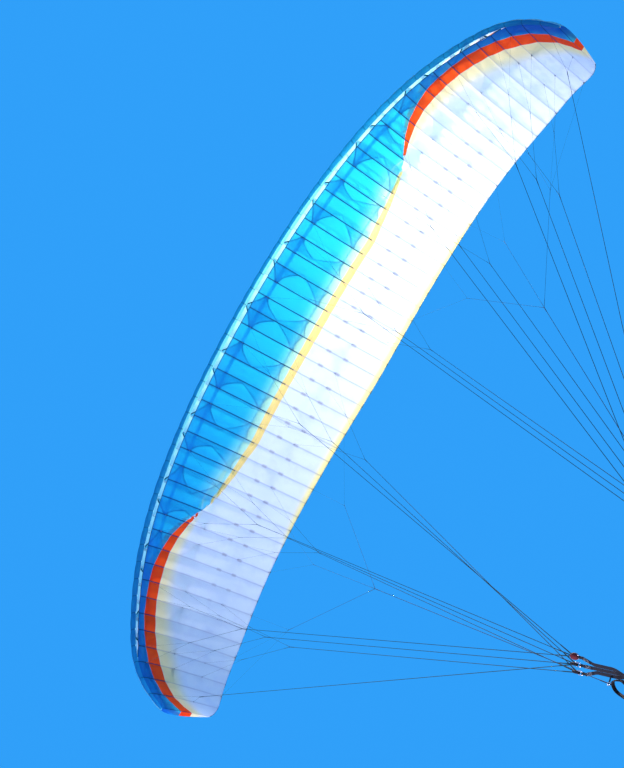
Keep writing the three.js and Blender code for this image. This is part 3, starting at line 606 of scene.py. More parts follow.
def sail_material(name, see_through, passing, depth, seams, rib_shadows, shares, strip=False):
    """Coated cloth, lit from both sides: passing is the share of light that goes through."""
    shader = Shader(name)
    uv = shader.cloth()
    threads = shader.waves(uv, RIPSTOP, ACROSS, ALONG)
    grid = shader.math("POWER", shader.most(*threads), 8)
    crumple = shader.noise(uv, scale=16, detail=4, roughness=0.6)
    normal = shader.bump(shader.scaled(crumple, 3, grid), strength=0.35, distance=0.0012)
    line, tab = seam_marks(shader)
    pattern = SailPattern(shader, strip)
    dark_seam = shader.times(line, shader.scaled(pattern.plain_white, -0.45, 0.9))
    dark_seam = shader.times(dark_seam, seams)
    hem = shader.step(shader.value("chord_share"), *HEM_STEP)
    tones = []
    for way in (0, 1):
        seam_tone = shader.blend(pattern.plain_white, SEAMS[way], WHITE_SEAMS[way])
        colour = pattern.painted(way, depth, shares[way])
        colour = shader.blend(shader.times(grid, THREAD_DARK), colour, BLACK)
        colour = shader.blend(dark_seam, colour, seam_tone)
        # Painted shadows of the straps inside, at the ribs.
        colour = shader.blend(shader.times(tab, rib_shadows[way]), colour, RIB_SHADOW_TONE)
        tones.append(shader.blend(hem, colour, TAIL_HEM))
    roughness = shader.scaled(crumple, 0.25, 0.42)
    front = shader.principled(tones[0], roughness, normal, Specular_IOR_Level=0.25)
    through = shader.node("BsdfTranslucent", {"Color": tones[1], "Normal": normal})
    cloth = shader.mix_shaders(passing, front, through)
    clear = shader.node("BsdfTransparent", {"Color": tones[1]})
    clearer = shader.scaled(pattern.white, -0.55 * see_through, see_through)
    clearer = shader.times(clearer, shader.scaled(pattern.behind_nose, 0.8, 0.2))
    openness = shader.times(shader.less(shader.most(dark_seam, hem)), clearer)
    return shader.finish(shader.mix_shaders(openness, cloth, clear))


def inner_material(name, colour, see_through, passing):
    """Plain cloth of the ribs and the straps inside."""
    shader = Shader(name)
    place = shader.place()
    crumple = shader.noise(place, scale=30, detail=4, roughness=0.6)
    threads = shader.waves(place, RIPSTOP, ACROSS, (0, 0.3, 1))
    grid = shader.math("POWER", shader.most(*threads), 10)
    tone = shader.blend(shader.times(crumple, 0.25), colour, (0.3, 0.4, 0.55))
    tone = shader.blend(shader.times(grid, 0.1), tone, (0.1, 0.15, 0.2))
    normal = shader.bump(shader.math("ADD", crumple, grid), strength=0.3, distance=0.001)
    front = shader.principled(tone, 0.55, normal, Sheen_Weight=0.2)
    through = shader.node("BsdfTranslucent", {"Color": tone})
    cloth = shader.mix_shaders(passing, front, through)
    clear = shader.node("BsdfTransparent", {"Color": colour})
    return shader.finish(shader.mix_shaders(see_through, cloth, clear))


def line_material(name, colour, fleck, see_through=0):
    """Braided sheath: two families of slanting strands."""
    shader = Shader(name)
    braid = shader.times(*shader.waves(shader.cloth(), STRAND, (1, 1, 0), (1, -1, 0)))
    tone = shader.blend(shader.times(braid, 0.5), colour, fleck)
    stain = shader.times(shader.noise(shader.place(), scale=2, detail=2), 0.25)
    tone = shader.blend(stain, tone, (0.01, 0.02, 0.02))
    normal = shader.bump(braid, strength=0.5, distance=0.0004)
    sheath = shader.principled(tone, 0.85, normal, Sheen_Weight=0.02, Specular_IOR_Level=0.25)
    if see_through:
        sheath = shader.mix_shaders(see_through, sheath, shader.node("BsdfTransparent"))
    return shader.finish(sheath)


def webbing_material(name, colour, thread):
    """Woven strap: fine ribs across it in a herringbone, and yarns along it."""
    shader = Shader(name)
    uv = shader.cloth()
    across, along = shader.dot(uv, ACROSS), shader.dot(uv, ALONG)
    fold = shader.away(shader.wave(across, 0.008), 0.5)
    ribs = shader.wave(shader.scaled(fold, 0.006, along), STRAND)
    yarns = shader.wave(across, YARN)
    height = shader.math("ADD", shader.times(ribs, 0.7), shader.times(yarns, 0.3))
    fuzz = shader.noise(shader.place(), scale=260, detail=3)
    tone = shader.blend(shader.times(height, 0.55), colour, thread)
    tone = shader.blend(shader.times(fuzz, 0.25), tone, colour)
    normal = shader.bump(shader.scaled(fuzz, 0.25, height), strength=0.6, distance=0.0006)
    return shader.finish(shader.principled(tone, 0.78, normal, Sheen_Weight=0.03,
                                           Specular_IOR_Level=0.2))


def steel_material(name, colour):
    """Polished steel with fine scratches and dull patches."""
    shader = Shader(name)
    place = shader.place()
    scratches = shader.noise(place, scale=140, detail=5, roughness=0.65)
    dull = shader.step(shader.noise(place, scale=25, detail=3), 0.45, 0.7)
    roughness = shader.scaled(dull, 0.12, shader.scaled(scratches, 0.22, 0.16))
    tone = shader.blend(shader.times(dull, 0.3), colour, (0.28, 0.28, 0.27))
    normal = shader.bump(scratches, strength=0.12, distance=0.0004)
    return shader.finish(shader.principled(tone, roughness, normal, Metallic=1))


def floor_material():
    shader = Shader("floor")
    mottle = shader.noise(shader.place(), scale=0.8, detail=4)
    tone = shader.blend(mottle, (0.4, 0.39, 0.36), (0.46, 0.45, 0.42))
    normal = shader.bump(mottle, strength=0.1, distance=0.01)
    return shader.finish(shader.principled(tone, 0.85, normal))


# Painted shade: the upper sail's colours as light is thrown back are darkened to 0.45, for its
# sunlit top.
UPPER_CLOTH = sail_material("upper_cloth", see_through=0.3, passing=0.74, depth=0.6, seams=0.5,
                            rib_shadows=(0, 0), shares=(0.45, 1), strip=True)
# The lower sail shows the painted shadows at the ribs mostly in the light let through.
LOWER_CLOTH = sail_material("lower_cloth", see_through=0.54, passing=0.54, depth=0.9, seams=1,
                            rib_shadows=(0.06, 0.62), shares=(1, 1))
RIB_CLOTH = inner_material("rib_cloth", (0.7, 0.84, 0.94), see_through=0.25, passing=0.5)
STRAP_CLOTHS = {
    "a": inner_material("front_strap_cloth", (0.2, 0.62, 0.82), see_through=0.36, passing=0.6),
    "b": inner_material("middle_strap_cloth", (0.5, 0.82, 0.88), see_through=0.55, passing=0.6),
    "c": inner_material("rear_strap_cloth", (0.82, 0.85, 0.95), see_through=0.65, passing=0.55),
}
HEM_CLOTH = webbing_material("hem_cloth", (0.001, 0.06, 0.09), (0.005, 0.13, 0.16))
PALE_HEM = webbing_material("pale_hem", (0.2, 0.72, 0.8), (0.45, 0.9, 0.92))
TAB_CLOTH = webbing_material("tab_cloth", (0.1, 0.12, 0.16), (0.35, 0.38, 0.44))
TEAL_LINE = line_material("teal_line", (0.001, 0.026, 0.032), (0.004, 0.07, 0.072))
THIN_LINE = line_material("thin_line", (0.01, 0.11, 0.14), (0.03, 0.2, 0.22), see_through=0.5)
DARK_LINE = line_material("dark_line", (0.004, 0.016, 0.034), (0.03, 0.06, 0.09))
BLACK_WEB = webbing_material("black_webbing", (0.003, 0.003, 0.005), (0.016, 0.015, 0.019))
RED_WEB = webbing_material("red_webbing", (0.07, 0.004, 0.006), (0.16, 0.022, 0.02))
THREAD = line_material("thread", (0.55, 0.55, 0.52), (0.75, 0.75, 0.7))
STEEL = steel_material("steel", (0.6, 0.61, 0.63))

# The canopy. Flat lengths of the sails along the chord:
UPPER_FLAT = 2.55
LOWER_FLAT = 2.4


def build_sails(side):
    sign = SIDES[side]
    cells = np.linspace(0, HALF_CELLS, HALF_CELLS * CELL_STEPS + 1) * sign
    # The upper sail runs from the trailing edge over the top to the upper lip of the intake.
    over = even_ends(CHORD_STEPS)[::-1]
    under = INTAKE_TOP * np.linspace(0, 1, NOSE_STEPS + 1)[1:] ** 2
    level = np.repeat((1, -1), (CHORD_STEPS, NOSE_STEPS))
    build_sail(side, "upper", UPPER_CLOTH, cells, np.append(over, under), level, UPPER_BILLOW,
               UPPER_FLAT)
    # The lower sail goes on round the tip, up to the upper sail.
    level = np.append(np.full(len(cells), -1), np.linspace(-1, 0.999, TIP_STEPS + 1)[1:])
    cells = np.append(cells, np.full(TIP_STEPS, HALF_CELLS * sign))
    bottom = intake_bottom(cells)[:, None]
    x = bottom + (1 - bottom) * even_ends(CHORD_STEPS)
    build_sail(side, "lower", LOWER_CLOTH, cells, x, level[:, None], LOWER_BILLOW, LOWER_FLAT,
               f"rib_{side}_tip")


# Ribs: plates with round holes, cut to the sail's section.
RIB_HOLES = (  # chord share, width and height as shares of chord and depth
    (0.17, 0.045, 0.56),
    (0.275, 0.042, 0.6),
    (0.5, 0.045, 0.56),
    (0.6, 0.036, 0.54),
    (0.8, 0.028, 0.46),
)
HOLE_POINTS = 14
OUTLINE = even_ends(26)
RIB_FRONT = ((0.03, 0.96), (0.052, 0.6), (0.066, 0.1), (0.064, -0.5), (0.054, -0.9))
MIDDLE_RIB = 0.0005  # cells from the middle plane


def rib_outline(cells):
    """Chord shares and heights: the front edge is hollow behind the intake."""
    upper = [(x, 1) for x in OUTLINE[::-1] if x > RIB_FRONT[0][0]]
    lower = [(x, -1) for x in (INTAKE_BOTTOM, *OUTLINE) if x >= INTAKE_BOTTOM]
    return [(x, surface_height(cells, x, level)) for x, level in (*upper, *RIB_FRONT, *lower)]


def rib_hole(cells, at, width, height):
    bottom, middle, top = [surface_height(cells, at, level) for level in (-1, 0, 1)]
    return [(at + width * math.cos(t), middle + (top - bottom) * height / 2 * math.sin(t))
            for t in round_turn(HOLE_POINTS)]


def build_ribs(side):
    """One rib at each seam; the one in the middle belongs to the left."""
    sign = SIDES[side]
    points, faces = [], []
    for n in range(0 if sign > 0 else 1, HALF_CELLS):
        place = max(n, MIDDLE_RIB) * sign
        loops = [rib_outline(place)] + [rib_hole(place, *hole) for hole in RIB_HOLES]
        chord = chord_at(span_share(place))
        flat = [[Vector((x * chord, h, 0)) for x, h in loop] for loop in loops]
        start = len(points)
        points += [section_place(place, x, h) for loop in loops for x, h in loop]
        faces += [tuple(start + i for i in face) for face in tessellate_polygon(flat)]
    return new_mesh(f"{side}_ribs", points, faces, RIB_CLOTH, smooth=False)


# Tubes, straps and other forms along a path.

def runs_along(path, closed):
    """Unit directions of a path at each of its places."""
    if closed:
        return unit(np.roll(path, -1, axis=0) - np.roll(path, 1, axis=0))
    return unit(np.gradient(path, axis=0))


def lengths_along(path):
    return np.append(0, np.cumsum(np.linalg.norm(np.diff(path, axis=0), axis=1)))


def ring_faces(count, ring, closed=False):
    """Faces between rings of points in a row. The two ends are closed unless the row is."""
    faces = []
    for i in range(count if closed else count - 1):
        here, after = i * ring, (i + 1) % count * ring
        for k in range(ring):
            m = (k + 1) % ring
            faces.append((here + k, here + m, after + m, after + k))
    if not closed:
        faces.append(tuple(range(ring))[::-1])
        faces.append(tuple(range((count - 1) * ring, count * ring)))
    return faces


TUBE_GUIDE = (0.13, 0.97, 0.21)


def tube(path, radii, sides, closed=False):
    """Points and faces of a tube along a path, and metres round it and along it."""
    path = np.asarray(path, float)
    radii = np.broadcast_to(radii, len(path))[:, None]
    runs = runs_along(path, closed)
    turns = round_turn(sides)
    wide, deep = np.cos(turns)[:, None], np.sin(turns)[:, None]
    side = np.cross(runs[0], TUBE_GUIDE)
    rings = []
    for run, at, radius in zip(runs, path, radii):
        side = square_to(side, run)
        rings.append(at + radius * (wide * side + deep * np.cross(run, side)))
    return (np.concatenate(rings), ring_faces(len(path), sides, closed), radii * turns,
            np.repeat(lengths_along(path), sides))


BAND_EDGE_STEPS = 4


def band(centres, across, width, thickness, closed=False):
    """A strap with rounded edges along its middle line; across is the way of its width,
    one for all or one for each centre."""
    centres = np.asarray(centres, float)
    across = np.broadcast_to(across, centres.shape)
    count = len(centres)
    depth = unit(np.cross(runs_along(centres, closed), across))
    edge = thickness / 2
    turns = np.tile(np.linspace(-np.pi / 2, np.pi / 2, BAND_EDGE_STEPS + 1), 2)
    end = np.repeat((1, -1), BAND_EDGE_STEPS + 1)
    half = np.broadcast_to(width, count)[:, None] / 2 - edge
    spread = end * (half + edge * np.cos(turns))
    off = end * edge * np.sin(turns)
    points = centres[:, None] + across[:, None] * spread[..., None] + depth[:, None] * off[:, None]
    return (points.reshape(-1, 3), ring_faces(count, len(end), closed), spread,
            np.repeat(lengths_along(centres), len(end)))


def pod(base, axis, wide, rings, sides=16):
    """A form round an axis from rings of height, half width and half depth."""
    up, half, depth = np.array(rings).T[..., None]
    turns = round_turn(sides)
    points = (base + axis * up[..., None] + wide * (half * np.cos(turns))[..., None]
              + np.cross(axis, wide) * (depth * np.sin(turns))[..., None])
    return points.reshape(-1, 3), ring_faces(len(rings), sides), half * turns, np.repeat(up, sides)


def loop_points(centre, wide, high, width, height, corner, steps):
    """An upright loop with rounded corners, in the plane of two directions."""
    points = []
    for w, h, quarter in ((1, 1, 0), (-1, 1, 1), (-1, -1, 2), (1, -1, 3)):
        middle = centre + wide * w * (width / 2 - corner) + high * h * (height / 2 - corner)
        for i in range(steps + 1):
            angle = math.pi / 2 * (quarter + i / steps)
            points.append(middle + corner * (wide * math.cos(angle) + high * math.sin(angle)))
    return np.array(points)


def curve_through(points, steps, closed=False):
    """A smooth curve through points."""
    points = np.asarray(points, float)
    count = len(points)
    made = []
    for i in range(count if closed else count - 1):
        near = np.arange(i - 1, i + 3)
        a, b, c, d = points[near % count if closed else np.clip(near, 0, count - 1)]
        for t in np.linspace(0, 1, steps, endpoint=False):
            made.append(0.5 * (2 * b + (c - a) * t + (2 * a - 5 * b + 4 * c - d) * t * t
                               + (3 * b - a - 3 * c + d) * t**3))
    return np.array(made if closed else [*made, points[-1]])


STITCH_LENGTH = 0.0028
STITCH_PITCH = STITCH_LENGTH * 1.35
STITCH_RADIUS = 0.00038
STITCH_SHAPE = ((-1, -0.5), (-0.6, 0), (0.6, 0), (1, -0.5))  # along by half lengths, and lift


class Bundle:
    """Several meshes collected into one piece, with a map in metres."""

    def __init__(self):
        self.points, self.faces, self.across, self.along, self.parts = [], [], [], [], []
        self.count = 0

    def add(self, points, faces, across=None, along=None, material=0):
        points = np.reshape(points, (-1, 3))
        self.points.append(points)
        self.faces += [tuple(self.count + i for i in face) for face in faces]
        self.parts += [material] * len(faces)
        self.across.append(np.zeros(len(points)) if across is None else np.ravel(across))
        self.along.append(np.zeros(len(points)) if along is None else along)
        self.count += len(points)
        return self

    def add_tube(self, path, radii, sides, closed=False, material=0):
        return self.add(*tube(path, radii, sides, closed), material)

    def add_stitches(self, start, end, lift, material):
        """A row of sewn stitches between two places, just above the cloth."""
        length = np.linalg.norm(end - start)
        count = max(int(length / STITCH_PITCH), 1)
        reach = (end - start) / length * STITCH_LENGTH / 2
        for i in range(count):
            middle = start + (end - start) * (i + 0.5) / count + lift
            path = [middle + reach * along + lift * up for along, up in STITCH_SHAPE]
            self.add_tube(path, STITCH_RADIUS, 5, material=material)

    def add_box_stitches(self, place, width, low, high, lift, material):
        """Stitching in a box with a cross, as on load straps: place(across, up) on the strap."""
        half = width / 2
        corners = [place(*at) for at in ((-half, low), (half, low), (half, high), (-half, high))]
        for a, b in ((0, 1), (1, 2), (2, 3), (3, 0), (0, 2), (1, 3)):
            self.add_stitches(corners[a], corners[b], lift, material)

    def build(self, name, *materials):
        piece = new_mesh(name, np.concatenate(self.points), self.faces, *materials)
        add_map(piece, np.concatenate(self.across), np.concatenate(self.along))
        piece.data.polygons.foreach_set("material_index", self.parts)
        return piece


# Slanting straps inside the canopy, and tapes along the span.
STRAP_STEPS = 8
STRAP_FOOT = 0.01  # half width of a slanting strap at the line, chord share
STRAP_HEAD = {"a": (0.06, 0.17), "b": (0.12, 0.08), "c": (0.06, 0.06)}
STRAP_LIMITS = (0.012, 0.99)  # chord shares
STRAP_CURVE = 1.7
STRAP_REACH = 0.995  # share of a cell
STRAP_LEVEL = 0.97  # of the way to the lower and the upper sail
STRAP_HEM = {"a": 0.008, "b": 0.006}
TAPES = {"a": (0.011, 24.999), "b": (0.006, 12)}  # half width, and cells it reaches out
TAPE_LIFT = 0.035  # height of the tapes above the lower sail, share of its depth
TAPE_STEPS = 96
NEAR_MIDDLE = 0.001  # cells
FLAT_ROOM = 1.35  # length of many pieces laid side by side, for their area


def patch(place, across, along):
    """A patch of cloth: place(s, t) for shares s from 0 to 1 across it, t from -1 to 1 along."""
    s, t = np.meshgrid(np.linspace(0, 1, across + 1), np.linspace(-1, 1, along + 1), indexing="ij")
    return place(s, t), grid_faces(across + 1, along + 1)


def build_straps(side):
    """Slanting straps from each line up to the next rib, and tapes along the span."""
    sign = SIDES[side]
    straps = Bundle()
    rows = list(ROW_CHORDS)

    def slanting(row, rib, toward):
        def place(s, t):
            ahead, behind = [STRAP_FOOT + (head - STRAP_FOOT) * s**STRAP_CURVE
                             for head in STRAP_HEAD[row]]
            x = np.clip(ROW_CHORDS[row] + t * np.where(t < 0, ahead, behind), *STRAP_LIMITS)
            cells = (rib + toward * s * STRAP_REACH) * sign
            return sail_place(cells, x, STRAP_LEVEL * (2 * s - 1))
        return patch(place, STRAP_STEPS, STRAP_STEPS)

    for pair in LOAD_PAIRS:
        for rib, toward in zip(pair, (-1, 1)):
            for part, row in enumerate(rows):
                points, faces = slanting(row, rib, toward)
                straps.add(points, faces, material=part)
                if row in STRAP_HEM:
                    for edge in (points[:, 0], points[:, -1]):
                        straps.add_tube(edge, STRAP_HEM[row], 5, material=len(rows))
    for row, (half, reach) in TAPES.items():
        def tape(s, t):
            cells = (NEAR_MIDDLE + reach * s) * sign
            return sail_place(cells, ROW_CHORDS[row] + t * half, -1 + 2 * TAPE_LIFT)
        straps.add(*patch(tape, TAPE_STEPS, 2), material=rows.index(row))
    return straps.build(f"{side}_straps", *(STRAP_CLOTHS[row] for row in rows), HEM_CLOTH)


def settle_inner(piece, side, width, *nodes):
    """Cloth inside the canopy; the size of its many pieces laid flat side by side is worked out, and
    nothing uses it.
    """
    piece.data.update()
    area = sum(face.area for face in piece.data.polygons)
    settle_cloth(piece, "rib_cloth", side, (width, area / width * FLAT_ROOM), area, *nodes)


# Piped lips of the intake, and the hem of the trailing edge.
LIP_RADIUS = 0.005
LIP_STEPS = 10  # a cell
LIP_END = OPEN_CELLS + 0.7  # cells
HEM_END = HALF_CELLS - 0.01
EDGE_RADIUS = 0.0022
EDGE_SIDES = 6
PROBE = 1e-4  # cells, or chord share, to the next point for a direction


def sewn_edge(cells, x, level, billow):
    """Places along an edge of the sail, on the swollen cloth."""
    x = scallop(cells, np.broadcast_to(x, cells.shape))
    base = sail_place(cells, x, level)
    span = sail_place(cells + PROBE, x, level) - base
    ahead = np.minimum(x + PROBE, 1)
    chord = sail_place(cells, ahead, level) - sail_place(cells, ahead - 2 * PROBE, level)
    outward = unit(np.cross(span, chord)) * -level
    return base + outward * swelling(cells, x, billow)[..., None]


def build_edges(side):
    sign = SIDES[side]
    cells = np.linspace(0, LIP_END, int(LIP_END * LIP_STEPS)) * sign
    cells[0] = NEAR_MIDDLE * sign
    lips = Bundle()
    edges = ((INTAKE_TOP, UPPER_BILLOW), (intake_bottom(cells), LOWER_BILLOW))
    for part, (x, billow) in enumerate(edges):
        lips.add_tube(sewn_edge(cells, x, -1, billow), LIP_RADIUS, EDGE_SIDES, material=part)
    settle(lips.build(f"{side}_intake_lips", PALE_HEM, HEM_CLOTH), "upper_cloth")
    cells = np.linspace(NEAR_MIDDLE, HEM_END, HALF_CELLS * LIP_STEPS) * sign
    edge = (sewn_edge(cells, 1.0, -1, LOWER_BILLOW) + sewn_edge(cells, 1.0, 1, UPPER_BILLOW)) / 2
    hem = Bundle().add_tube(edge, EDGE_RADIUS, EDGE_SIDES)
    settle(hem.build(f"{side}_trailing_hem", HEM_CLOTH), "lower_cloth", bends=side)


STRAPS_WIDTH = 1.2  # of the straps laid side by side
RIB_NODES = {"left": ("rib_middle", "rib_left_inner", "rib_left_outer"),
             "right": ("rib_right_inner", "rib_right_outer")}

for side in SIDES:
    build_sails(side)
    settle_inner(build_ribs(side), side, ROOT_CHORD, *RIB_NODES[side])
    settle_inner(build_straps(side), side, STRAPS_WIDTH)
    build_edges(side)


# Rigging. Sizes repeat the part's own source, in metres.
HANG_HALF = 0.22
RISER_TOP = (0.052, 0.446, 0.496)
LINK_PLACE = {"a": 1, "b": 0, "c": -1}
LINK_SPREAD = 0.046
RISER_TWIST = math.radians(50)
TWIST_LOW = 0.19
TWIST_HIGH = 0.32
PARTING = 0.43
LINK_WIDTH, LINK_HEIGHT, LINK_CORNER = 0.024, 0.034, 0.006
LINK_WIRE = 0.004
WEB_WIDTH = 0.02
WEB_THICKNESS = 0.003
PIECE_GAP = 0.0003
STACK_STEP = WEB_THICKNESS + PIECE_GAP
STACK_TOP = 0.095
WEB_FAN = 0.5
EYE_LEAD = 0.012
EYE_WIDTH, EYE_HEIGHT, EYE_CORNER = 0.013, 0.02, 0.005
EYE_WEB = 0.011
STRAP_LOW = 0.04
HANG_LOOP = (0.036, 0.062, 0.014)  # width, height and corner
HANG_LOOP_WEB, HANG_LOOP_THICKNESS = 0.024, 0.005
MAIN_TIES = (((1, 2), (5, 6)), ((9, 10), (13, 14)), ((17, 18), (21, 22)))
MAIN_FORK = 0.62
UPPER_FORK = 0.5
TIP_TIES = ((24, 0.2), (24, 0.62))
TIP_FORK = 0.9
FOOT_PITCH = 0.0044
FORK_PITCH = 0.0036
FOOT_ABOVE_LINK = 0.0229
BRAKE_TIES = ((4, 8), (11, 14), (17, 20, 23))
BRAKE_TIE_CHORD = 0.985
BRAKE_MAIN_FORK = 0.5
BRAKE_UPPER_FORK = 0.55
RING_DOWN = 0.215
RING_OUT = 0.034
RING_BACK = 0.026
RING_RADIUS = 0.0082
RING_WIRE = 0.0022
TAB_BEND = 0.009
TAB_WEB = 0.009
TAB_THICKNESS = 0.002
HANDLE_BELOW_RING = 0.034
HANDLE_LENGTH = 0.135
HANDLE_WIDTH = 0.092
HANDLE_WEB = 0.022
HANDLE_THICKNESS = 0.005
HANDLE_SHAPE = (
    (0, 0), (0.3, -0.12), (0.46, -0.5), (0.5, -0.78), (0.36, -0.95), (0.14, -1),
    (-0.14, -1), (-0.36, -0.95), (-0.5, -0.78), (-0.46, -0.5), (-0.3, -0.12),
)

# Finer detail of the rigging.
MAIN_LINE = 0.0021  # radii
FORKED_LINE = 0.0012
TOP_LINE = 0.0008
LINE_SIDES = 6
SPLICE_SWELL = 0.55  # the spliced ends are thicker by this share
SPLICE_LENGTH = 0.11
SPLICE_TIP = 0.004
SPLICE_NECK = 0.012
SPLICE_MOST = 0.3  # share of the line
SPLICE_FORM = np.array((0.8, 1, 1, 0, 0, 1, 1, 0.8))
END_LOOP_UP = 0.002  # loop at a line's foot: how high, then its form
END_LOOP = (0.008, 0.01, 0.0038, 3)
TIE_TAB = ((-0.004, 0.4), (0.008, 1), (0.018, 1), (0.026, 0))  # down, and share of the bow
TIE_TAB_BOW = 0.0022
TIE_TAB_SIZE = (0.009, 0.0009)  # width and thickness
TAB_PART, THIN_PART = 1, 2  # materials of a set of lines, after the sheath

# Forms round an axis: height on it, half width and half depth.
FORK_KNOT = ((-0.008, 0.0022, 0.0022), (-0.003, 0.0036, 0.003), (0.003, 0.0036, 0.003),
             (0.008, 0.0024, 0.0024))
HANDLE_KNOT = ((-0.004, 0.002, 0.002), (0, 0.0045, 0.004), (0.006, 0.0045, 0.004),
               (0.011, 0.002, 0.002))
LINK_BARREL = ((-0.0068, 0.0024, 0.0024), (-0.0062, 0.0034, 0.0034), (0.0062, 0.0034, 0.0034),
               (0.0068, 0.0024, 0.0024))
WIDE_COVER = ((-0.04, 0.006, 0.006), (-0.035, 0.012, 0.0115), (-0.024, 0.018, 0.0175),
              (-0.01, 0.02, 0.0195), (0.003, 0.017, 0.0165), (0.012, 0.0105, 0.01),
              (0.018, 0.006, 0.0055))
SLIM_COVER = ((-0.022, 0.006, 0.005), (-0.018, 0.0105, 0.008), (0.006, 0.0115, 0.0085),
              (0.022, 0.0095, 0.007), (0.028, 0.006, 0.0045))
RISER_SLEEVE = ((0.028, 0.0128, 0.0085), (0.031, 0.014, 0.0098), (0.052, 0.0136, 0.0086),
                (0.074, 0.0128, 0.0074), (0.078, 0.0116, 0.0062))
HANDLE_GRIP = ((-0.024, 0.0112, 0.0052), (-0.021, 0.013, 0.0075), (0, 0.0134, 0.008),
               (0.021, 0.013, 0.0075), (0.024, 0.0112, 0.0052))


class Riser:
    """Local directions of one riser: along it, outward across it, and forward. In its upper
    half the last two turn about the riser."""

    def __init__(self, side):
        self.side = side
        self.sign = sign = SIDES[side]
        self.foot = np.array((0, HANG_HALF * sign, 0))
        reach = np.array(RISER_TOP) * (1, sign, 1) - self.foot
        self.length = np.linalg.norm(reach)
        self.along = unit(reach)
        self.low_forward = square_to(FORWARD, self.along)
        self.low_outward = unit(np.cross(self.along, self.low_forward)) * sign
        self.forward, self.outward = self.turned(self.length)

    def turned(self, up):
        """Forward and outward at that height."""
        t = np.clip((up - TWIST_LOW) / (TWIST_HIGH - TWIST_LOW), 0, 1)
        turn = RISER_TWIST * t * t * (3 - 2 * t)
        return (self.low_forward * math.cos(turn) - self.low_outward * math.sin(turn),
                self.low_outward * math.cos(turn) + self.low_forward * math.sin(turn))

    def place(self, ahead, out, up):
        forward, outward = self.turned(up)
        return self.foot + forward * ahead + outward * out + self.along * up


def spaced(count, pitch):
    """Places side by side, about the middle."""
    return (np.arange(count) - (count - 1) / 2) * pitch


class LineTree(Bundle):
    """Lines that fork on their way up to the sail. A tie is a place there, or else a fork: a
    tuple of the share of the way where it lies, and the list of its own ties."""

    def __init__(self):
        super().__init__()
        self.tops = []            # tied ends, each with the way its line arrives

    def line(self, start, end, radius, material=0):
        length = np.linalg.norm(end - start)
        splice = min(SPLICE_LENGTH, length * SPLICE_MOST)
        ups = np.array((0, SPLICE_TIP, splice, splice + SPLICE_NECK))
        ups = np.append(ups, length - ups[::-1])[:, None]
        self.add_tube(start + unit(end - start) * ups, radius * (1 + SPLICE_SWELL * SPLICE_FORM),
                      LINE_SIDES, material=material)

    def goal(self, tie):
        if isinstance(tie, tuple):
            return np.mean([self.goal(part) for part in tie[1]], axis=0)
        return tie

    def fork(self, start, tie, radius):
        share, ties = tie
        centre = start + (self.goal(tie) - start) * share
        axis = unit(centre - start)
        spread = square_to(self.goal(ties[-1]) - self.goal(ties[0]), axis)
        self.line(start, centre, radius)
        self.add(*pod(centre, axis, spread, FORK_KNOT, 10))
        for part, off in zip(ties, spaced(len(ties), FORK_PITCH)):
            foot = centre + spread * off
            if isinstance(part, tuple):
                self.fork(foot, part, FORKED_LINE)
            else:
                self.line(foot, part, TOP_LINE, THIN_PART)
                self.tops.append((part, unit(foot - part)))

    def add_tie_tabs(self):
        """The small sewn loop of tape that holds each line under the sail."""
        for place, down in self.tops:
            wide = square_to(FORWARD, down)
            for side in (-1, 1):
                deep = np.cross(wide, down) * side * TIE_TAB_BOW
                path = [place + down * along + deep * bow for along, bow in TIE_TAB]
                self.add(*band(curve_through(path, 4), wide, *TIE_TAB_SIZE), material=TAB_PART)


def sail_tie(cells, x):
    return section_place(cells, x, surface_height(cells, x, -1) - PIECE_GAP)


def row_forks(row, sign):
    forks = [(MAIN_FORK, [(UPPER_FORK, [sail_tie(rib * sign, ROW_CHORDS[row]) for rib in pair])
                          for pair in pairs]) for pairs in MAIN_TIES]
    if row == "b":
        forks.append((TIP_FORK, [sail_tie(rib * sign, x) for rib, x in TIP_TIES]))
    return forks


def build_row_lines(riser, row):
    tree = LineTree()
    forks = row_forks(row, riser.sign)
    ahead = LINK_PLACE[row] * LINK_SPREAD
    for fork, out in zip(forks, spaced(len(forks), FOOT_PITCH)):
        # The end loop of the line, around the link's head.
        top = riser.place(ahead, out, riser.length + LINK_HEIGHT / 2)
        loop = loop_points(top + riser.along * END_LOOP_UP, riser.forward, riser.along, *END_LOOP)
        tree.add_tube(loop, MAIN_LINE, LINE_SIDES, closed=True)
        tree.fork(riser.place(ahead, out, riser.length + FOOT_ABOVE_LINK), fork, MAIN_LINE)
    tree.add_tie_tabs()
    lines = tree.build(f"{riser.side}_{row}_line_set", TEAL_LINE, TAB_CLOTH, THIN_LINE)
    settle(lines, "line", f"{riser.side}_{row}_lines", bends=riser.side if row == "c" else None)


def build_link(riser, row):
    """A steel oval with its threaded sleeve, and the soft cover over the line ends."""
    ahead = LINK_PLACE[row] * LINK_SPREAD
    centre = riser.place(ahead, 0, riser.length)
    ring = loop_points(centre, riser.forward, riser.along, LINK_WIDTH, LINK_HEIGHT, LINK_CORNER, 6)
    oval = Bundle().add_tube(ring, LINK_WIRE / 2, 12, closed=True)
    smooth = len(oval.faces)
    oval.add(*pod(centre + riser.forward * LINK_WIDTH / 2, riser.along, riser.forward,
                  LINK_BARREL, 6))
    link = oval.build(f"{riser.side}_{row}_link", STEEL)
    link.data.polygons.foreach_set("use_smooth", np.arange(len(oval.faces)) < smooth)
    settle(link, "steel", f"{riser.side}_link_{row}")
    top = riser.place(ahead, 0, riser.length + FOOT_ABOVE_LINK)
    form, web, slot = {"a": (WIDE_COVER, RED_WEB, "red_webbing")}.get(
        row, (SLIM_COVER, BLACK_WEB, "black_webbing"))
    cover = Bundle().add(*pod(top, riser.along, riser.outward, form, 20))
    settle(cover.build(f"{riser.side}_{row}_link_cover", web), slot)


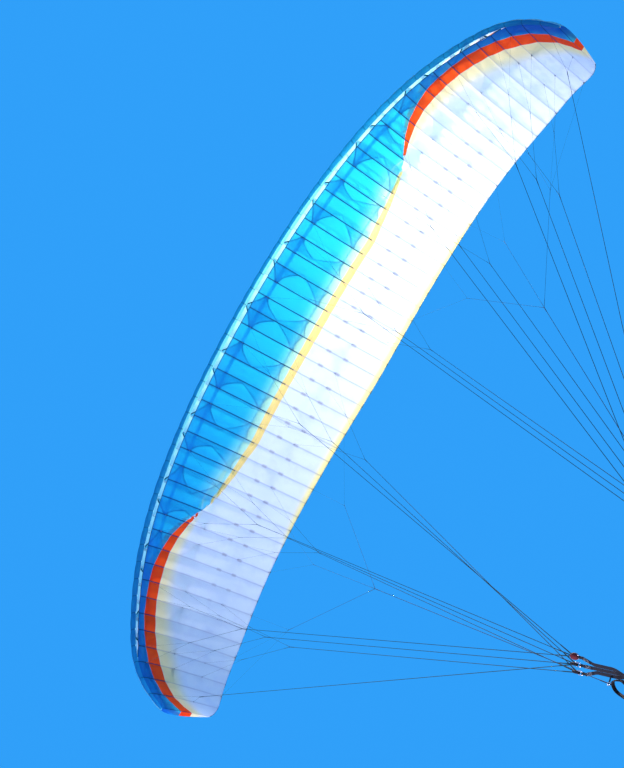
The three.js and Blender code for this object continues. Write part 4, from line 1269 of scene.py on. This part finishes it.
OVERLAP = 0.062  # doubled and sewn length of a strap below its eye
SINGLE_THICKNESS = WEB_THICKNESS * 0.8
DOUBLED_THICKNESS = WEB_THICKNESS * 0.7
DOUBLED_OFF = WEB_THICKNESS * 0.85
DOUBLED_WIDTH = WEB_WIDTH * 0.98
EYE_NARROWING = 0.016
EYE_START = EYE_WEB + 0.002
EYE_BEND = 0.01
FAN_START = 0.11
EYE_BOX = (WEB_WIDTH * 0.72, 0.05, 0.02)  # stitching: width, foot and top below the eye
EYE_BOX_FACES = ((1, 0.0034), (-1, 0.0012))  # which face, and its height off the middle
SLEEVE_BOX = (0.014, 0.036, 0.068)
SLEEVE_FACE = 0.0086
STITCH_LIFT, SLEEVE_LIFT = 0.0003, 0.0004
HEAD_GAP = HANDLE_THICKNESS * 0.6 + PIECE_GAP
GRIP_UP = 0.001
TAB_INTO_RING = 0.001
RING_POINTS = 28


def eye_heights(riser):
    """Top and foot of the sewn eyes, and where the straps below them are straight again."""
    wire_top = riser.length - LINK_HEIGHT / 2 + LINK_WIRE / 2
    eye_top = wire_top + PIECE_GAP + WEB_THICKNESS / 2
    eye_low = eye_top - EYE_HEIGHT
    return eye_top, eye_low, eye_low - EYE_LEAD


def strap_point(riser, row, across, off, up):
    """A point on one riser's webbing: it leaves the stack, fans out and ends at its link."""
    place = LINK_PLACE[row]
    straight = eye_heights(riser)[2]
    fanned = np.clip((up - STACK_TOP) / (TWIST_LOW - STACK_TOP), 0, 1)
    rest = np.clip((up - PARTING) / (straight - PARTING), 0, 1)
    ahead = place * LINK_SPREAD * (WEB_FAN * fanned + (1 - WEB_FAN) * rest)
    return riser.place(ahead + across, place * STACK_STEP * (1 - rest) + off, up)


def build_riser(riser, row):
    """Flat webbing from the stack over the hang loop to a sewn eye round the link."""
    eye_top, eye_low, straight = eye_heights(riser)
    strap = Bundle()

    def add_strip(ups, off, width, thickness):
        narrow = np.interp(ups, (eye_low - EYE_NARROWING, eye_low), (width, EYE_START))
        middle = [strap_point(riser, row, 0, off, up) for up in ups]
        strap.add(*band(middle, [riser.turned(up)[0] for up in ups], narrow, thickness))

    ups = np.concatenate([np.linspace(STRAP_LOW, STACK_TOP, 5), np.linspace(FAN_START, TWIST_LOW, 6),
                          np.linspace(TWIST_LOW, straight, 25)[1:], (eye_low - EYE_BEND, eye_low)])
    add_strip(ups, 0, WEB_WIDTH, SINGLE_THICKNESS)
    add_strip(np.linspace(eye_low - OVERLAP, eye_low, 12), DOUBLED_OFF, DOUBLED_WIDTH,
              DOUBLED_THICKNESS)
    middle = riser.place(LINK_PLACE[row] * LINK_SPREAD, 0, (eye_top + eye_low) / 2)
    eye = loop_points(middle, riser.outward, riser.along, EYE_WIDTH, EYE_HEIGHT, EYE_CORNER, 5)
    strap.add(*band(eye, riser.forward, EYE_WEB, SINGLE_THICKNESS, closed=True))
    width, low, high = EYE_BOX
    for face, height in EYE_BOX_FACES:
        def on_face(across, up):
            return strap_point(riser, row, across, face * height, up)
        strap.add_box_stitches(on_face, width, eye_low - low, eye_low - high,
                               riser.outward * face * STITCH_LIFT, 1)
    settle(strap.build(f"{riser.side}_{row}_riser", BLACK_WEB, THREAD), "black_webbing",
           f"{riser.side}_riser_{row}")


def build_hang_loop(riser):
    middle = riser.place(0, 0, STRAP_LOW - PIECE_GAP - (HANG_LOOP_THICKNESS + HANG_LOOP[1]) / 2)
    loop = loop_points(middle, riser.low_outward, riser.along, *HANG_LOOP, 8)
    foot = Bundle().add(*band(loop, riser.low_forward, HANG_LOOP_WEB, HANG_LOOP_THICKNESS,
                              closed=True))
    foot.add(*pod(riser.foot, riser.along, riser.low_forward, RISER_SLEEVE, 24))
    for face in (-1, 1):
        def on_sleeve(across, up):
            return riser.place(across, face * SLEEVE_FACE, up)
        foot.add_box_stitches(on_sleeve, *SLEEVE_BOX, riser.low_outward * face * SLEEVE_LIFT, 1)
    settle(foot.build(f"{riser.side}_carabiner_loop", BLACK_WEB, THREAD), "black_webbing",
           f"{riser.side}_hang_loop")


def build_brake(riser):
    """Brake lines, their handle, and the ring and tab that keep them on the rear riser."""
    side = riser.side
    body = f"{side}_brake"
    forks = (BRAKE_MAIN_FORK, [
        (BRAKE_UPPER_FORK, [sail_tie(rib * riser.sign, BRAKE_TIE_CHORD) for rib in ribs])
        for ribs in BRAKE_TIES])
    tree = LineTree()
    carrier = strap_point(riser, "c", 0, 0, riser.length - RING_DOWN)
    ring_at = carrier - riser.forward * RING_BACK + riser.outward * RING_OUT
    pull = unit(tree.goal(forks) - ring_at)
    across = square_to(riser.forward, pull)
    sideways = unit(np.cross(across, pull))
    top = ring_at - pull * HANDLE_BELOW_RING
    tree.fork(top, forks, MAIN_LINE)
    tree.add_tie_tabs()
    tree.add(*pod(top, pull, across, HANDLE_KNOT, 12))
    lines = tree.build(f"{side}_brake_line_set", DARK_LINE, TAB_CLOTH, THIN_LINE)
    settle(lines, "brake_line", f"{side}_brake_lines", body=body)

    head = top - pull * HEAD_GAP
    shape = [head + across * w * HANDLE_WIDTH + pull * h * HANDLE_LENGTH for w, h in HANDLE_SHAPE]
    path = curve_through(shape, 8, closed=True)
    handle = Bundle().add(*band(path, sideways, HANDLE_WEB, HANDLE_THICKNESS, closed=True))
    low = head - pull * (HANDLE_LENGTH - GRIP_UP)
    handle.add(*pod(low, across, sideways, HANDLE_GRIP, 20))
    settle(handle.build(f"{side}_brake_toggle", BLACK_WEB), "black_webbing",
           f"{side}_brake_handle", body=body)

    turns = round_turn(RING_POINTS)[:, None]
    path = ring_at + RING_RADIUS * (across * np.cos(turns) + sideways * np.sin(turns))
    ring = Bundle().add_tube(path, RING_WIRE, 10, closed=True)
    settle(ring.build(f"{side}_guide_ring", STEEL), "steel", f"{side}_brake_ring")

    root = carrier + riser.outward * (WEB_THICKNESS / 2 + PIECE_GAP)
    bend = carrier + riser.outward * TAB_BEND
    end = ring_at - unit(ring_at - bend) * (RING_RADIUS - TAB_INTO_RING)
    path = curve_through([root, bend, end], 8)
    tab = Bundle().add(*band(path, riser.along, TAB_WEB, TAB_THICKNESS))
    settle(tab.build(f"{side}_ring_tab", BLACK_WEB), "black_webbing", f"{side}_brake_tab")


for side in SIDES:
    riser = Riser(side)
    for row in ROW_CHORDS:
        build_row_lines(riser, row)
        build_link(riser, row)
        build_riser(riser, row)
    build_hang_loop(riser)
    build_brake(riser)


# Floor, light and background.
FLOOR_HEIGHT = -3.3
FLOOR_SIZE = 60
WARM = (1, 0.8, 0.66)  # colour of the sun and the lamp
COOL = (0.78, 0.72, 1)
SUN_FROM = Vector((-0.273, 0.156, 0.95))
SUN_STRENGTH = 4.5
SUN_ANGLE = math.radians(7)
LAMPS = (  # name, place, aim, size, power and colour
    # A wide soft lamp above the left half, and a broad cool one below the right half.
    ("lamp", (-1.2, 4.8, 12.4), (0, 0, 8), 3, 950, WARM),
    ("fill", (3, -6.2, -0.8), (-0.4, -2.6, 7.6), 5, 1700, COOL),
)
BACKGROUND = (0.03, 0.35, 0.95)


def build_stage():
    half = FLOOR_SIZE / 2
    corners = [(x, y, FLOOR_HEIGHT) for x, y in
               ((-half, -half), (half, -half), (half, half), (-half, half))]
    floor = new_mesh("floor", corners, [(0, 1, 2, 3)], floor_material(), smooth=False)


def add_lamp(name, kind, aim_from, colour, power):
    data = bpy.data.lights.new(name, kind)
    data.energy = power
    data.color = colour
    lamp = add_object(name, data)
    lamp.rotation_euler = aim_from.to_track_quat("Z", "Y").to_euler()
    return lamp


def build_lights():
    world = bpy.data.worlds.new("world")
    world.use_nodes = True
    world.node_tree.nodes["Background"].inputs["Color"].default_value = (*BACKGROUND, 1)
    bpy.context.scene.world = world
    add_lamp("sun", "SUN", SUN_FROM, WARM, SUN_STRENGTH).data.angle = SUN_ANGLE
    for name, at, aim, size, power, colour in LAMPS:
        lamp = add_lamp(name, "AREA", Vector(at) - Vector(aim), colour, power)
        lamp.data.shape = "DISK"
        lamp.data.size = size
        lamp.location = at


make_camera()
build_stage()
build_lights()
bpy.context.scene.view_settings.view_transform = "Standard"
